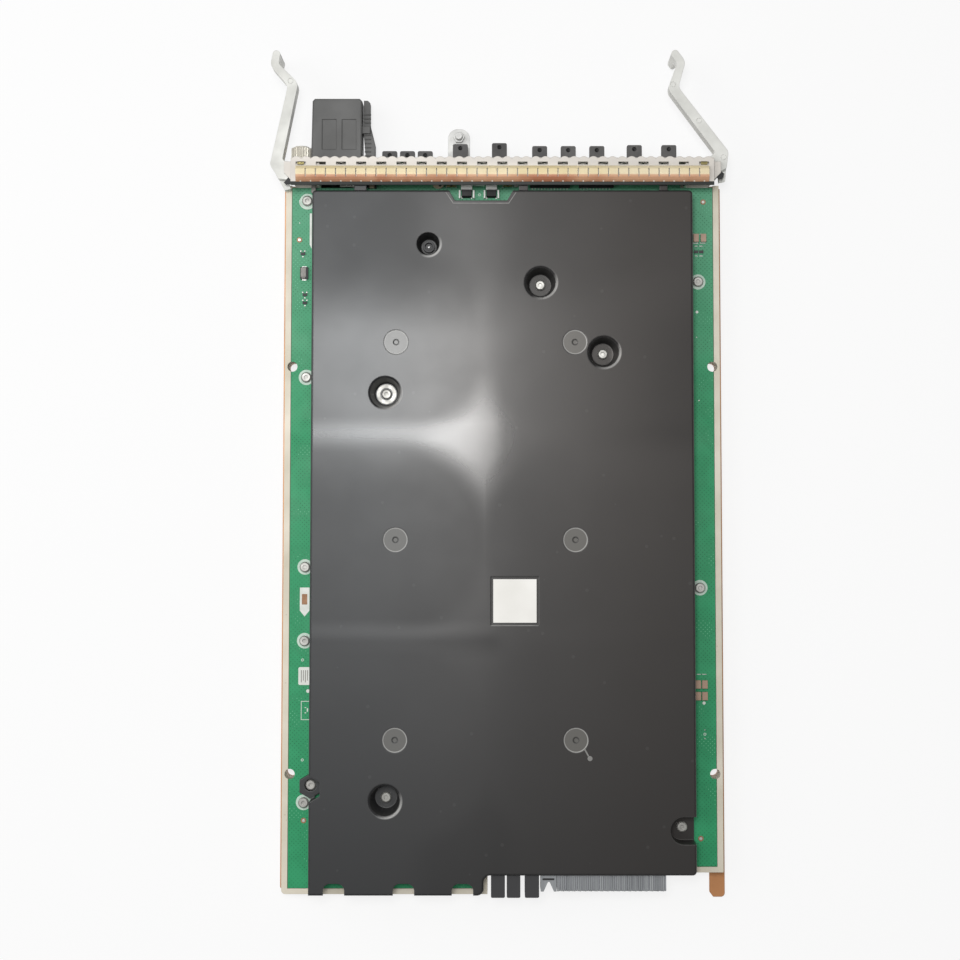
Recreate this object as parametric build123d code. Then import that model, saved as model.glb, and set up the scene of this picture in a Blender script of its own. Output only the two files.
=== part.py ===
from build123d import *
import os
from math import cos, pi, sin

# A plug-in baseband processing card: tray, circuit board, moulded air baffle,
# front panel with ports, and two ejector levers, shown open.
# +X is to the right seen from above, +Y is the front, +Z is up.
# The origin is the centre of the bottom plate's underside.

# Bottom plate
plate_width = 222.0
plate_length = 362.0
plate_thick = 1.5
step_back = 10.5            # how much shorter the right part of the tray is
step_from_wafers = 26.0     # the rear edge steps this far left of the connector
nose_step = 6.5             # each side of the narrower front end, clear of the levers
nose_length = 9.0
tongue_width = 7.6
tongue_length = 13.9
tongue_bevel = (1.8, 2.4)
corner_radius = 2.0

# Frame round the board
frame_margin = 2.0          # plate that shows outside the frame
frame_wall = 3.0
frame_rear_wall = 2.7
frame_setback = 0.5         # frame's rear edge in from the plate's
frame_front_gap = 9.5
ledge_reach = 13.0
ledge_thick = 1.8
boss_radius = 3.4
edge_hole_radius = 2.5
edge_hole_inset = 5.8       # from the plate's edge
edge_hole_from_front = 101.0
edge_hole_from_rear = 59.0
edge_boss_radius = 4.4

# Circuit board
board_clear = 0.2
board_height = 9.8          # room under the board
board_thick = 2.0
board_panel_gap = 1.8       # board's front tongue to the panel's inside
board_nose_inset = 19.4     # the tongue's side in from the frame's outside
board_shoulder_gap = 1.1    # shoulder in from the frame's front

# Screws
screw_head_radius = 2.6
screw_head_height = 2.0
screw_head_bevel = 0.6
screw_socket_radius = 0.95
screw_socket_depth = 1.0
screw_radius = 1.25
screw_hole_radius = 1.6
thread_hole_radius = 1.25
thread_clear = 0.02
thread_depth = 5.0
thread_run_out = 1.0        # hole left below a screw's end
board_screw_inset = 10.8    # from the frame's outside
left_screws_from_front = (17.4, 106.4)
left_screws_from_rear = (161.0, 124.5, 45.2)
right_screws_from_front = (58.3,)
right_screws_from_rear = (150.7,)
plate_screw_inset = 8.5
plate_screws_from_front = (31.0, 141.0)
plate_screws_from_rear = (101.0, 21.0)
countersink_radius = 2.6
countersink_depth = 1.3
countersink_clear = 0.1
standoff_radius = 2.9

# Moulded air baffle
baffle_inset = 14.7         # from the frame's outside
baffle_top = 27.5
baffle_wall = 2.0
baffle_from_front = 14.3    # its front edge in from the plate's
baffle_rear_gap = 2.2       # its rear edges in from the frame's
baffle_step_gap = 1.3
baffle_round = 1.0
step_turn = 3.2             # radius of the S-shaped step
step_shift = 3.6
baffle_floor = 1.8
pocket_radius = 7.5
pocket_floor_radius = 5.5
pocket_shell = 1.4
pocket_lip = 0.8
front_pocket_spots = ((18.9, 60.4), (50.1, 95.0))
rear_pocket_spot = (-57.3, 48.2)
ring_spot = (-57.8, 115.0)  # the pocket with the metal ring
pin_pocket_spot = (-36.8, 41.1)
pin_pocket_radius = 5.7
pin_pocket_floor_radius = 3.9
pin_outer = 3.0
pin_inner = 1.9
pin_height = 3.0
pin_floor = 0.6
pin_pocket_shell = 1.0
lug_overhang = 0.3          # the hexagonal lug's centre outside the baffle's side
lug_from_rear = 53.7
lug_screw_shift = (0.2, 0.5)
lug_radius = 5.4
lug_shell = 0.6
lug_floor = 4.2
lug_head_clear = 0.3
edge_pocket_inset = 6.1
edge_pocket_from_rear = 33.8
edge_pocket_radius = 6.6
edge_well_inset = 0.1
ring_radius = 4.9
ring_bore = 3.1
ring_thick = 1.0
gate_radius = 6.0
gate_depth = 0.3
gate_dimple_radius = 1.3
gate_dimple_depth = 0.5
gate_xs = (-52.5, 35.8)
gate_from_rear = 77.4
gate_pitch_y = 97.3
gate_rows = 3
notch_center_x = -10.6
notch_width = 33.0
notch_floor_width = 26.0
notch_depth = 5.2
arch_xs = (-81.9, -48.0, -19.4)
arch_width = 10.4
arch_depth = 5.8
arch_radius = 3.4
front_tab_spans = ((-73.6, -67.6), (8.2, 12.7), (78.1, 82.1))
front_tab_thick = 1.3
front_tab_reach = 7.0
rib_count = 5
rib_thick = 1.5
rib_depth = 0.6

# Square plate on the baffle
label_center = (6.1, -36.1)
label_side = 21.2
label_pocket_side = 23.6
label_pocket_depth = 0.5
label_thick = 0.3

# Front panel
panel_inset = 4.0           # the panel's ends in from the frame's outside
sheet = 1.2
panel_overhang = 2.0        # the panel's face in front of the plate
panel_top = 28.4
flange_depth = 13.8
foot_depth = 12.0
lip_pitch = 4.75
lip_radius = 2.75
lip_reach = 0.45            # how far a bump stands in front of the face
lip_valley = 0.7            # how far the flange falls back between bumps
clip_slot_length = 4.9
clip_slot_width = 1.4
clip_slot_from_face = 3.0
vent_flat = 3.9             # across the flats of a hexagonal vent
vent_rows_z = (17.2, 21.3)
vent_end_margin = 19.0

# Finger gasket
gasket_end_gap = 2.6
gasket_from_face = 4.3
gasket_depth = 8.0
gasket_rise = 1.9
gasket_sheet = 0.35
gasket_profile = ((0.0, 0.0), (0.12, 0.5), (0.28, 0.84), (0.5, 1.0), (0.78, 0.96), (0.92, 0.66),
                  (1.0, 0.0))    # shares of the depth and of the rise, from the rear
finger_pitch = 5.0
finger_slit = 0.5
slit_front_margin = 1.5
slit_back_margin = 2.3

# Ejector levers, drawn closed for the left side with the pivot at 0, 0
pivot_inset = 5.7           # from the panel's end
pivot_from_face = 6.6
lever_bottom = 15.6
lever_height = 8.0
lever_arm_width = 5.6
lever_arm_offset = 14.3
lever_arm_length = 42.4
lever_neck_slim = 0.8       # how much narrower the arm is at its bend
lever_shoulder = (0.4, 4.0)     # place and radius of the rounded outer corner
lever_armpit = (3.6, 1.5)       # place and radius of the corner over the hub
lever_bend_shift = 1.2      # the inner corner of the bend beyond the arm's end, the outer one before it
lever_bend_radii = (5.0, 4.0)
hook_band = 3.7
hook_inner = (9.0, 8.7)     # inner corner, from the arm's end and middle line
hook_outer = (7.2, 12.7)
hook_reach = 15.3
hook_radii = (1.5, 5.0, 1.75)   # inner corner, outer corner and tip
hook_drop_length = 4.6      # how much of the tip hangs down
hook_drop_round = 1.2
hook_depth = 20.0
hub_radius = 4.6
claw_height = 3.6
lever_heel = (-5.6, 11.4)
lever_claw = ((-0.6, 16.0), (-10.1, 7.8), (-8.8, 4.9), (-6.0, 6.6))
pin_radius = 2.0
pin_clear = 0.08
pin_seat_clear = 0.02
pin_head_radius = 3.0
pin_head_thick = 0.8
left_open_angle = 78.8      # from closed to the photographed place
right_open_angle = 53.7
slot_clear = 0.6

# Pivot brackets
ear_thick = 1.2
ear_outer = 9.4             # from the pivot outwards
ear_inner = 8.2
ear_front = 5.0
ear_back = 6.2
ear_corner = (-4.0, -0.5)
web_thick = 1.4
rivet_flange = 7.0
rivet_flange_rise = 2.7

# Captive thumbscrew
thumb_inset = 3.3           # from the panel's end
thumb_z = 9.6
thumb_radius = 5.2
thumb_length = 7.2
thumb_dome = 0.8
thumb_slot = (1.2, 0.4)
thumb_teeth = 24
tooth_depth = 0.45
thumb_shank = 2.0
shank_length = 11.7
bushing_radius = 2.8
bushing_length = 3.0
bushing_flange = 4.2
bushing_flange_thick = 0.8
turn_clear = 0.1

# Power inlet and plug
plug_inset = 21.7           # the plug's centre in from the panel's end
plug_width = 25.0
plug_bottom = 2.6
plug_top = 15.0
plug_length = 32.1
plug_gap = 0.5              # between the plug's shell and the panel
plug_draft = 0.6
plug_chamfer = 1.2
plug_rim = 0.6
plug_recess_xs = (-4.0, 6.0)
plug_recess = (7.2, 15.3, 0.4)
plug_recess_start = 6.2
nose_size = (19.0, 7.0)
nose_reach = 7.5
nose_clear = 0.3
inlet_width = 30.0
inlet_top = 13.0
inlet_depth = 10.0
inlet_board_gap = 3.0       # between the inlet and the board's tongue
inlet_back_wall = 2.5
inlet_lip = 2.0
contact_pitch = 6.0
contact_count = 3
contact_radius = 1.2
contact_length = 7.0
contact_clear = 0.3
latch_thick = 3.2
latch_z = (6.0, 12.0)
latch_pivot_from_face = 17.0
latch_pivot_gap = 2.2       # from the plug's side to the pivot
latch_pin_radius = 1.2
latch_side_gap = 0.7
latch_ear_thick = 1.1
latch_ear_clear = 0.3
latch_ear_half = 1.8
latch_step = 2.6            # how far the finger end stands out
latch_waist = (3.0, -2.8, -7.4)
latch_front_gap = 0.4       # behind the plug's front face
latch_heel_gap = 1.3        # how much farther the latch's foot stays off the plug

# Ports and their dust caps
cage_bottom = 2.8
cage_wall = 0.6
cage_out = 0.6              # how far a cage stands out of the panel
port_clear = 0.2
wide_port_xs = (-21.3, -1.5)
wide_cage_width = 18.4
wide_cage_depth = 47.4
ganged_first_x = 18.9
ganged_pitch = 14.5
ganged_count = 3
single_port_insets = (38.1, 20.6)   # from the panel's right end
narrow_cage_width = 14.2
narrow_cage_depth = 44.4
jack_from_plug = 26.2
jack_pitch = 9.0
jack_count = 3
jack_wall = 0.9
jack_depth = 14.0
cap_depth = 12.0
wide_cap_depth = 8.0
jack_cap_depth = 8.0
cap_collar = 1.4
cap_rim_inset = 0.15
tab_width = 7.6
tab_thick = 2.2
tab_z = 7.6
tab_round = 0.9
tab_hole_radius = 1.1
tab_hole_inset = 2.1
tab_reaches = (6.9, 6.9, 6.9, 10.5, 11.0, 9.5, 9.5, 9.5, 10.0, 10.0)

# Ground lug
lug_x = -22.2
ground_lug_width = 11.2
ground_lug_reach = 20.0     # in front of the panel's face
ground_lug_root = 8.0
ground_lug_round = 5.0
stud_inset = 4.6            # from the lug's front
stud_radius = 1.7
stud_base_radius = 1.9
stud_height = 5.7
nut_radius = 2.9
nut_height = 2.4

# Rear connectors
rear_top = 25.2
rear_block_spans = ((-24.2, -17.4), (-16.5, -9.9), (-7.7, -0.8))     # from the connector's left end
rear_block_setback = 1.2
rear_block_length = 26.0
rear_block_bevel = 0.5
block_slot = (3.8, 9.0, 2.4)
block_slot_zs = (3.2, 8.0)
wafer_end_inset = 28.24     # the connector's right end in from the frame's outside
wafer_pitch = 2.22
wafer_gap = 0.12
wafer_count = 28
wafer_setback = 4.3
wafer_length = 26.0
organizer_thick = 1.4
wafer_slot_share = (0.3, 0.7)

# Parts on the board
processor_side = 34.0
processor_thick = 2.4
sinks_from_rear = (221.0, 149.0, 81.0)
sink_center_x = -6.0
sink_size = (84.0, 58.0)
sink_base = 2.4
sink_top = 24.4
fin_thick = 1.1
fin_pitch = 6.0
memory_size = (11.0, 14.0, 1.2)
memory_insets = (32.3, 18.3)        # from the baffle's right side
memory_from_rear = (221.0, 201.0, 181.0)
module_size = (20.0, 46.0, 9.5)
modules_from_front = (57.0, 115.0)
module_inset = 15.3                 # from the baffle's left side
module_groove = (1.6, 3.0)
module_groove_pitch = 4.5
module_groove_count = 4
bulk_radius = 4.0
bulk_height = 9.0
bulk_bevel = 0.5
bulk_inset = 12.3
bulk_from_rear = (201.0, 189.0, 177.0, 165.0)
lamp_xs = (-18.0, -5.5)
lamp_from_front = 13.0
lamp_body = (5.8, 4.4, 2.8)
lamp_top = (5.6, 2.6, 4.4)
lamp_foot = (1.0, 6.0, 1.8)
lamp_foot_x = 3.4
chip_size = (4.0, 6.0, 1.6)
# side, inset from the frame's outside, and distance from the front edge, or from the rear edge if negative
chip_spots = ((-1, 9.5, 54.0),)
resistor_size = (2.2, 1.4, 0.6)
resistor_spots = ((-1, 8.7, 44.1), (-1, 9.8, 64.8), (-1, 9.8, 68.9), (1, 11.6, 43.1), (1, 9.0, 43.1))
capacitor_size = (2.7, 4.0, 2.0)
capacitor_spots = ((1, 11.7, 36.2), (1, 8.0, 36.2), (1, 12.1, -103.1), (1, 8.8, -103.1), (1, 12.1, -97.4),
                   (1, 8.8, -97.4))

# Places worked out from the sizes above
plate_half = plate_width / 2
plate_front = plate_length / 2
plate_rear = -plate_length / 2
plate_rear_right = plate_rear + step_back
nose_half = plate_half - nose_step
frame_half = plate_half - frame_margin
frame_front = plate_front - frame_front_gap
frame_rear = plate_rear + frame_setback
frame_rear_right = plate_rear_right + frame_setback
panel_half = frame_half - panel_inset
panel_face = plate_front + panel_overhang
panel_inner = panel_face - sheet
flange_back = panel_face - flange_depth
flange_under = panel_top - sheet
board_bottom = plate_thick + board_height
board_top = board_bottom + board_thick
board_half = frame_half - frame_wall - board_clear
board_front = panel_inner - board_panel_gap
board_nose_half = frame_half - board_nose_inset
board_shoulder = frame_front - board_shoulder_gap
board_rear = frame_rear + frame_rear_wall + board_clear
board_rear_right = frame_rear_right + frame_rear_wall + board_clear
wafer_start_x = frame_half - wafer_end_inset - wafer_count * wafer_pitch
wafer_end_x = wafer_start_x + wafer_count * wafer_pitch
step_x = wafer_start_x - step_from_wafers
board_step_x = step_x - frame_wall - board_clear
baffle_half = frame_half - baffle_inset
baffle_front = plate_front - baffle_from_front
baffle_rear = frame_rear + baffle_rear_gap
baffle_rear_right = frame_rear_right + baffle_step_gap
baffle_under = baffle_top - baffle_wall
floor_top = board_top + baffle_floor
gasket_half = panel_half - gasket_end_gap
gasket_front = panel_face - gasket_from_face
gasket_back = gasket_front - gasket_depth
pivot_x = panel_half - pivot_inset
pivot_y = panel_face - pivot_from_face
lever_top = lever_bottom + lever_height
ear_low = lever_bottom - slot_clear
ear_high = lever_top + slot_clear
thumb_x = -panel_half + thumb_inset
plug_center_x = -panel_half + plug_inset
plug_back = panel_face + plug_gap
plug_front = plug_back + plug_length
latch_pivot_x = plug_center_x + plug_width / 2 + latch_pivot_gap
latch_pivot_y = panel_face + latch_pivot_from_face
nose_middle_z = (plug_bottom + inlet_top) / 2
contact_xs = [plug_center_x + (i - (contact_count - 1) / 2) * contact_pitch for i in range(contact_count)]
ganged_xs = [ganged_first_x + i * ganged_pitch for i in range(ganged_count)]
single_port_xs = [panel_half - inset for inset in single_port_insets]
narrow_xs = ganged_xs + single_port_xs
jack_xs = [plug_center_x + jack_from_plug + i * jack_pitch for i in range(jack_count)]
cap_xs = jack_xs + list(wide_port_xs) + narrow_xs
ground_lug_front = panel_face + ground_lug_reach
ground_lug_back = panel_face - ground_lug_root
stud_y = ground_lug_front - stud_inset
nut_top = plate_thick + nut_height
rear_block_back = plate_rear + rear_block_setback
wafer_back = plate_rear + wafer_setback
lug_spot = (-baffle_half - lug_overhang, plate_rear + lug_from_rear)
lug_screw_spot = (lug_spot[0] + lug_screw_shift[0], lug_spot[1] + lug_screw_shift[1])
edge_pocket_spot = (baffle_half - edge_pocket_inset, plate_rear + edge_pocket_from_rear)
pin_spot = (pin_pocket_spot[0], plate_front - pin_pocket_spot[1])
ring_pocket = (ring_spot[0], plate_front - ring_spot[1])
pocket_spots = [(x, plate_front - y) for x, y in front_pocket_spots]
pocket_spots += [ring_pocket, (rear_pocket_spot[0], plate_rear + rear_pocket_spot[1])]
baffle_screw_spots = pocket_spots + [edge_pocket_spot, lug_screw_spot]


def from_ends(fronts, rears):
    """Places along the tray, from its front edge and from its rear edge."""
    return [plate_front - y for y in fronts] + [plate_rear + y for y in rears]


board_screw_x = frame_half - board_screw_inset
plate_screw_x = frame_half - plate_screw_inset
edge_hole_x = plate_half - edge_hole_inset
board_screw_spots = [(-board_screw_x, y) for y in from_ends(left_screws_from_front, left_screws_from_rear)]
board_screw_spots += [(board_screw_x, y) for y in from_ends(right_screws_from_front, right_screws_from_rear)]
plate_screw_spots = [(side * plate_screw_x, y)
                     for y in from_ends(plate_screws_from_front, plate_screws_from_rear) for side in (-1, 1)]
edge_hole_spots = [(side * edge_hole_x, y)
                   for y in from_ends((edge_hole_from_front,), (edge_hole_from_rear,)) for side in (-1, 1)]


def block(x0, x1, y0, y1, z0, z1):
    return Pos((x0 + x1) / 2, (y0 + y1) / 2, (z0 + z1) / 2) * Box(x1 - x0, y1 - y0, z1 - z0)


def post(x, y, radius, z0, z1):
    return Pos(x, y, (z0 + z1) / 2) * Cylinder(radius, z1 - z0)


def cone(x, y, low_radius, high_radius, z0, z1):
    return Pos(x, y, (z0 + z1) / 2) * Cone(low_radius, high_radius, z1 - z0)


def rod_y(x, z, radius, y0, y1):
    return Pos(x, (y0 + y1) / 2, z) * Rot(90, 0, 0) * Cylinder(radius, y1 - y0)


def slab(points, z0, z1):
    """A flat plate with this outline, between two heights."""
    face = make_face(Polyline(*points, close=True))
    return Pos(0, 0, z0) * extrude(face, z1 - z0)


def stepped_outline(half, front, rear_left, rear_right, x_step):
    return [(-half, front), (-half, rear_left), (x_step, rear_left),
            (x_step, rear_right), (half, rear_right), (half, front)]


def rounded(solid, edge_filter, radius):
    """Rounds the upright edges that the filter picks."""
    picked = [e for e in solid.edges().filter_by(Axis.Z) if edge_filter(e.center())]
    return fillet(picked, radius)


def bottom_plate():
    half = plate_half
    body = slab(stepped_outline(half, plate_front, plate_rear, plate_rear_right, step_x), 0, plate_thick)
    nose_start = plate_front - nose_length
    for side in (-1, 1):
        inner = side * nose_half
        outer = side * (half + 1)
        body -= block(min(inner, outer), max(inner, outer), nose_start, plate_front + 1, -1, plate_thick + 1)
    tongue_rear = plate_rear_right - tongue_length
    tongue_side = half - tongue_width
    body += slab([(tongue_side, plate_rear_right + 1), (tongue_side, tongue_rear + tongue_bevel[1]),
                  (tongue_side + tongue_bevel[0], tongue_rear), (half, tongue_rear),
                  (half, plate_rear_right + 1)], 0, plate_thick)
    body = rounded(body, lambda c: c.X < -half + 1 and c.Y < plate_rear + 1, corner_radius)
    body = rounded(body, lambda c: c.X > half - 1 and c.Y < tongue_rear + 1, corner_radius)
    cuts = [post(x, y, edge_hole_radius, -1, plate_thick + 1) for x, y in edge_hole_spots]
    for x, y in plate_screw_spots:
        cuts.append(post(x, y, screw_hole_radius, -1, plate_thick + 1))
        cuts.append(cone(x, y, countersink_radius, screw_hole_radius, 0, countersink_depth))
    lug_half = ground_lug_width / 2 + port_clear
    cuts.append(block(lug_x - lug_half, lug_x + lug_half, ground_lug_back - port_clear, plate_front + 1,
                      -1, plate_thick + 1))
    return body - cuts


def plate_screws():
    """Countersunk screws, up through the plate into the frame."""
    made = []
    for x, y in plate_screw_spots:
        head = cone(x, y, countersink_radius - countersink_clear, screw_radius, countersink_clear,
                    countersink_depth)
        reach = plate_thick + thread_depth
        made.append(head + post(x, y, screw_radius - thread_clear, countersink_depth, reach))
    return Compound(children=made)


def side_frame():
    outer = stepped_outline(frame_half, frame_front, frame_rear, frame_rear_right, step_x)
    inner = stepped_outline(frame_half - frame_wall, frame_front + 1, frame_rear + frame_rear_wall,
                            frame_rear_right + frame_rear_wall, step_x - frame_wall)
    ring = slab(outer, plate_thick, board_top) - slab(inner, plate_thick - 1, board_top + 1)
    reach = ledge_reach
    shelf = slab(inner, board_bottom - ledge_thick, board_bottom)
    shelf -= slab(stepped_outline(frame_half - frame_wall - reach, frame_front + 2, frame_rear + reach,
                                  frame_rear_right + reach, step_x - frame_wall - reach),
                  board_bottom - ledge_thick - 1, board_bottom + 1)
    shelf -= block(-frame_half, frame_half, frame_front, frame_front + 3, 0, board_top + 1)
    body = ring + shelf
    screw_spots = board_screw_spots + plate_screw_spots
    bosses = [post(x, y, boss_radius, plate_thick, board_bottom) for x, y in screw_spots]
    bosses += [post(x, y, edge_boss_radius, plate_thick, board_bottom) for x, y in edge_hole_spots]
    bosses.append(post(lug_screw_spot[0], lug_screw_spot[1], boss_radius, plate_thick, board_bottom))
    body += bosses
    body &= slab(outer, plate_thick, board_top)
    body = rounded(body, lambda c: c.X < -frame_half + 0.5 and c.Y < frame_rear + 0.5, corner_radius)
    cuts = [post(x, y, edge_hole_radius, 0, board_top + 1) for x, y in edge_hole_spots]
    holes = board_screw_spots + [lug_screw_spot]
    cuts += [post(x, y, thread_hole_radius, board_bottom - thread_depth, board_bottom + 1) for x, y in holes]
    deep = plate_thick + thread_depth + thread_run_out
    cuts += [post(x, y, thread_hole_radius, 0, deep) for x, y in plate_screw_spots]
    return body - cuts


def circuit_board():
    inlet_side = plug_center_x + inlet_width / 2 + inlet_board_gap
    outline = [(-board_half, board_shoulder), (-board_half, board_rear), (board_step_x, board_rear),
               (board_step_x, board_rear_right), (board_half, board_rear_right), (board_half, board_shoulder),
               (board_nose_half, board_shoulder), (board_nose_half, board_front),
               (inlet_side, board_front), (inlet_side, board_shoulder)]
    body = slab(outline, board_bottom, board_top)
    cuts = [post(x, y, edge_hole_radius, 0, board_top + 1) for x, y in edge_hole_spots]
    cuts += [post(x, y, screw_hole_radius, 0, board_top + 1) for x, y in board_screw_spots + baffle_screw_spots]
    return body - cuts


def pan_screw(x, y, seat, reach):
    """A pan-head screw with a domed rim, its head seated at this height."""
    head = post(x, y, screw_head_radius, seat, seat + screw_head_height)
    head = chamfer(head.edges().group_by(Axis.Z)[-1], screw_head_bevel)
    top = seat + screw_head_height
    head -= post(x, y, screw_socket_radius, top - screw_socket_depth, top + 1)
    return head + post(x, y, screw_radius - thread_clear, seat - reach, seat)


def board_screws():
    reach = board_thick + thread_depth - thread_run_out
    return Compound(children=[pan_screw(x, y, board_top, reach) for x, y in board_screw_spots])


def standoffs():
    """Pressed standoffs that carry the board under the baffle's screws."""
    made = []
    for x, y in pocket_spots + [edge_pocket_spot]:
        tube = post(x, y, standoff_radius, plate_thick, board_bottom)
        made.append(tube - post(x, y, thread_hole_radius, board_bottom - thread_depth, board_bottom + 1))
    return Compound(children=made)


def baffle_outline():
    """Outer edge of the baffle's top, with its S-shaped step at the rear."""
    low = baffle_rear
    high = baffle_rear_right
    middle = step_x - step_shift / 2
    return Polyline((middle + step_turn, high), (baffle_half, high), (baffle_half, baffle_front),
                    (-baffle_half, baffle_front), (-baffle_half, low), (middle - step_turn, low))


def baffle_plan():
    """The baffle's plan, closed by the two arcs and the short run of its rear step."""
    low = baffle_rear
    high = baffle_rear_right
    middle = step_x - step_shift / 2
    turn = step_turn * sin(pi / 4)
    rest = step_turn - turn
    first = ThreePointArc((middle - step_turn, low), (middle - rest, low + rest), (middle, low + step_turn))
    run = Line((middle, low + step_turn), (middle, high - step_turn))
    last = ThreePointArc((middle, high - step_turn), (middle + rest, high - rest), (middle + step_turn, high))
    return make_face(Wire(baffle_outline().edges() + [first, run, last]))


def pocket_cone(x, y, top_radius, floor_radius, grow, z_floor, z_top):
    """The tapered well of a screw pocket, as a solid."""
    return cone(x, y, floor_radius + grow, top_radius + grow, z_floor, z_top)


def air_baffle():
    body = Pos(0, 0, board_top) * extrude(baffle_plan(), baffle_top - board_top)
    body = rounded(body, lambda c: abs(c.X) > baffle_half - 1 and c.Y > 0, corner_radius)
    body = rounded(body, lambda c: c.X > baffle_half - 1 and c.Y < 0, corner_radius)
    top_rim = body.edges().group_by(Axis.Z)[-1]
    body = fillet(top_rim, baffle_round)
    hollow = block(-baffle_half + baffle_wall, baffle_half - baffle_wall, baffle_rear - 5, baffle_front + 5,
                   board_top - 1, baffle_under)
    body -= hollow
    wells = []
    for x, y in pocket_spots:
        wells.append(pocket_cone(x, y, pocket_radius, pocket_floor_radius, pocket_shell,
                                 board_top, baffle_under))
    wells.append(pocket_cone(*pin_spot, pin_pocket_radius, pin_pocket_floor_radius, pin_pocket_shell,
                             board_top, baffle_under))
    body += wells
    rib_pitch = (baffle_front - baffle_rear) / rib_count
    for i in range(rib_count):
        y = baffle_rear + (i + 0.5) * rib_pitch
        body += block(-baffle_half + baffle_wall, baffle_half - baffle_wall, y, y + rib_thick,
                      baffle_under - rib_depth, baffle_under)
    body += edge_wells()
    body -= baffle_cuts()
    tabs = [block(x0, x1, baffle_front - 3, baffle_front + front_tab_reach,
                  baffle_under - front_tab_thick, baffle_under) for x0, x1 in front_tab_spans]
    return body + tabs


def edge_wells():
    """Walls of the open-sided pocket on the right and the hexagonal lug on the left."""
    x, y = edge_pocket_spot
    well = post(x, y, edge_pocket_radius + pocket_shell, board_top, baffle_under)
    well += block(x, baffle_half - edge_well_inset, y - edge_pocket_radius - pocket_shell,
                  y + edge_pocket_radius + pocket_shell, board_top, baffle_under)
    well &= block(0, baffle_half, y - 2 * pocket_radius, y + 2 * pocket_radius, 0, baffle_top)
    hexagon = RegularPolygon(lug_radius + lug_shell, 6, rotation=30)
    lug = Pos(*lug_spot, board_top) * extrude(hexagon, baffle_under - board_top)
    return [well, lug]


def baffle_cuts():
    cuts = []
    deep = baffle_top + 1
    for x, y in pocket_spots:
        cuts.append(pocket_cone(x, y, pocket_radius, pocket_floor_radius, 0, floor_top, baffle_top))
        cuts.append(cone(x, y, pocket_radius - pocket_lip / 2, pocket_radius + pocket_lip,
                         baffle_top - pocket_lip, baffle_top))
    x, y = pin_spot
    cuts.append(pocket_cone(x, y, pin_pocket_radius, pin_pocket_floor_radius, 0, floor_top, baffle_top))
    x, y = edge_pocket_spot
    well = post(x, y, edge_pocket_radius, floor_top, deep)
    well += block(x, baffle_half + 3, y - edge_pocket_radius, y + edge_pocket_radius, floor_top, deep)
    cuts.append(well)
    hexagon = RegularPolygon(lug_radius + 2 * lug_shell, 6, rotation=30)
    cuts.append(Pos(*lug_spot, board_top + lug_floor) * extrude(hexagon, deep))
    cuts.append(post(*lug_screw_spot, screw_head_radius + lug_head_clear, floor_top, deep))
    for x, y in baffle_screw_spots:
        cuts.append(post(x, y, screw_hole_radius, board_top - 1, deep))
    for x in gate_xs:
        for i in range(gate_rows):
            y = plate_rear + gate_from_rear + i * gate_pitch_y
            cuts.append(post(x, y, gate_radius, baffle_top - gate_depth, deep))
            cuts.append(post(x, y, gate_dimple_radius, baffle_top - gate_depth - gate_dimple_depth, deep))
    for x in arch_xs:
        arch = RectangleRounded(arch_width, 2 * arch_depth, arch_radius)
        cuts.append(Pos(x, baffle_rear, board_top - 1) * extrude(arch, deep))
    wide = notch_width / 2
    narrow = notch_floor_width / 2
    notch_y = baffle_front - notch_depth
    cuts.append(slab([(notch_center_x - wide, baffle_front + 1), (notch_center_x - narrow, notch_y),
                      (notch_center_x + narrow, notch_y),
                      (notch_center_x + wide, baffle_front + 1)], board_top - 1, deep))
    half = label_pocket_side / 2
    cuts.append(block(label_center[0] - half, label_center[0] + half, label_center[1] - half,
                      label_center[1] + half, baffle_top - label_pocket_depth, deep))
    return cuts


def baffle_screws():
    reach = baffle_floor + board_thick + thread_depth - thread_run_out
    return Compound(children=[pan_screw(x, y, floor_top, reach) for x, y in baffle_screw_spots])


def baffle_ring():
    x, y = ring_pocket
    ring = post(x, y, ring_radius, floor_top, floor_top + ring_thick)
    return ring - post(x, y, ring_bore, floor_top - 1, floor_top + ring_thick + 1)


def baffle_pin():
    """Hollow pin that stands in the smallest pocket."""
    x, y = pin_spot
    tube = post(x, y, pin_outer, floor_top, floor_top + pin_height)
    return tube - post(x, y, pin_inner, floor_top + pin_floor, floor_top + pin_height + 1)


def label_plate():
    half = label_side / 2
    z = baffle_top - label_pocket_depth
    return block(label_center[0] - half, label_center[0] + half, label_center[1] - half,
                 label_center[1] + half, z, z + label_thick)


def lip():
    """Scalloped front lip: a row of rounded bumps along the flange."""
    count = int(2 * panel_half / lip_pitch)
    first = -(count - 1) * lip_pitch / 2
    center_y = panel_face + lip_reach - lip_radius
    bumps = [post(first + i * lip_pitch, center_y, lip_radius, flange_under, panel_top) for i in range(count)]
    return bumps


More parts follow.
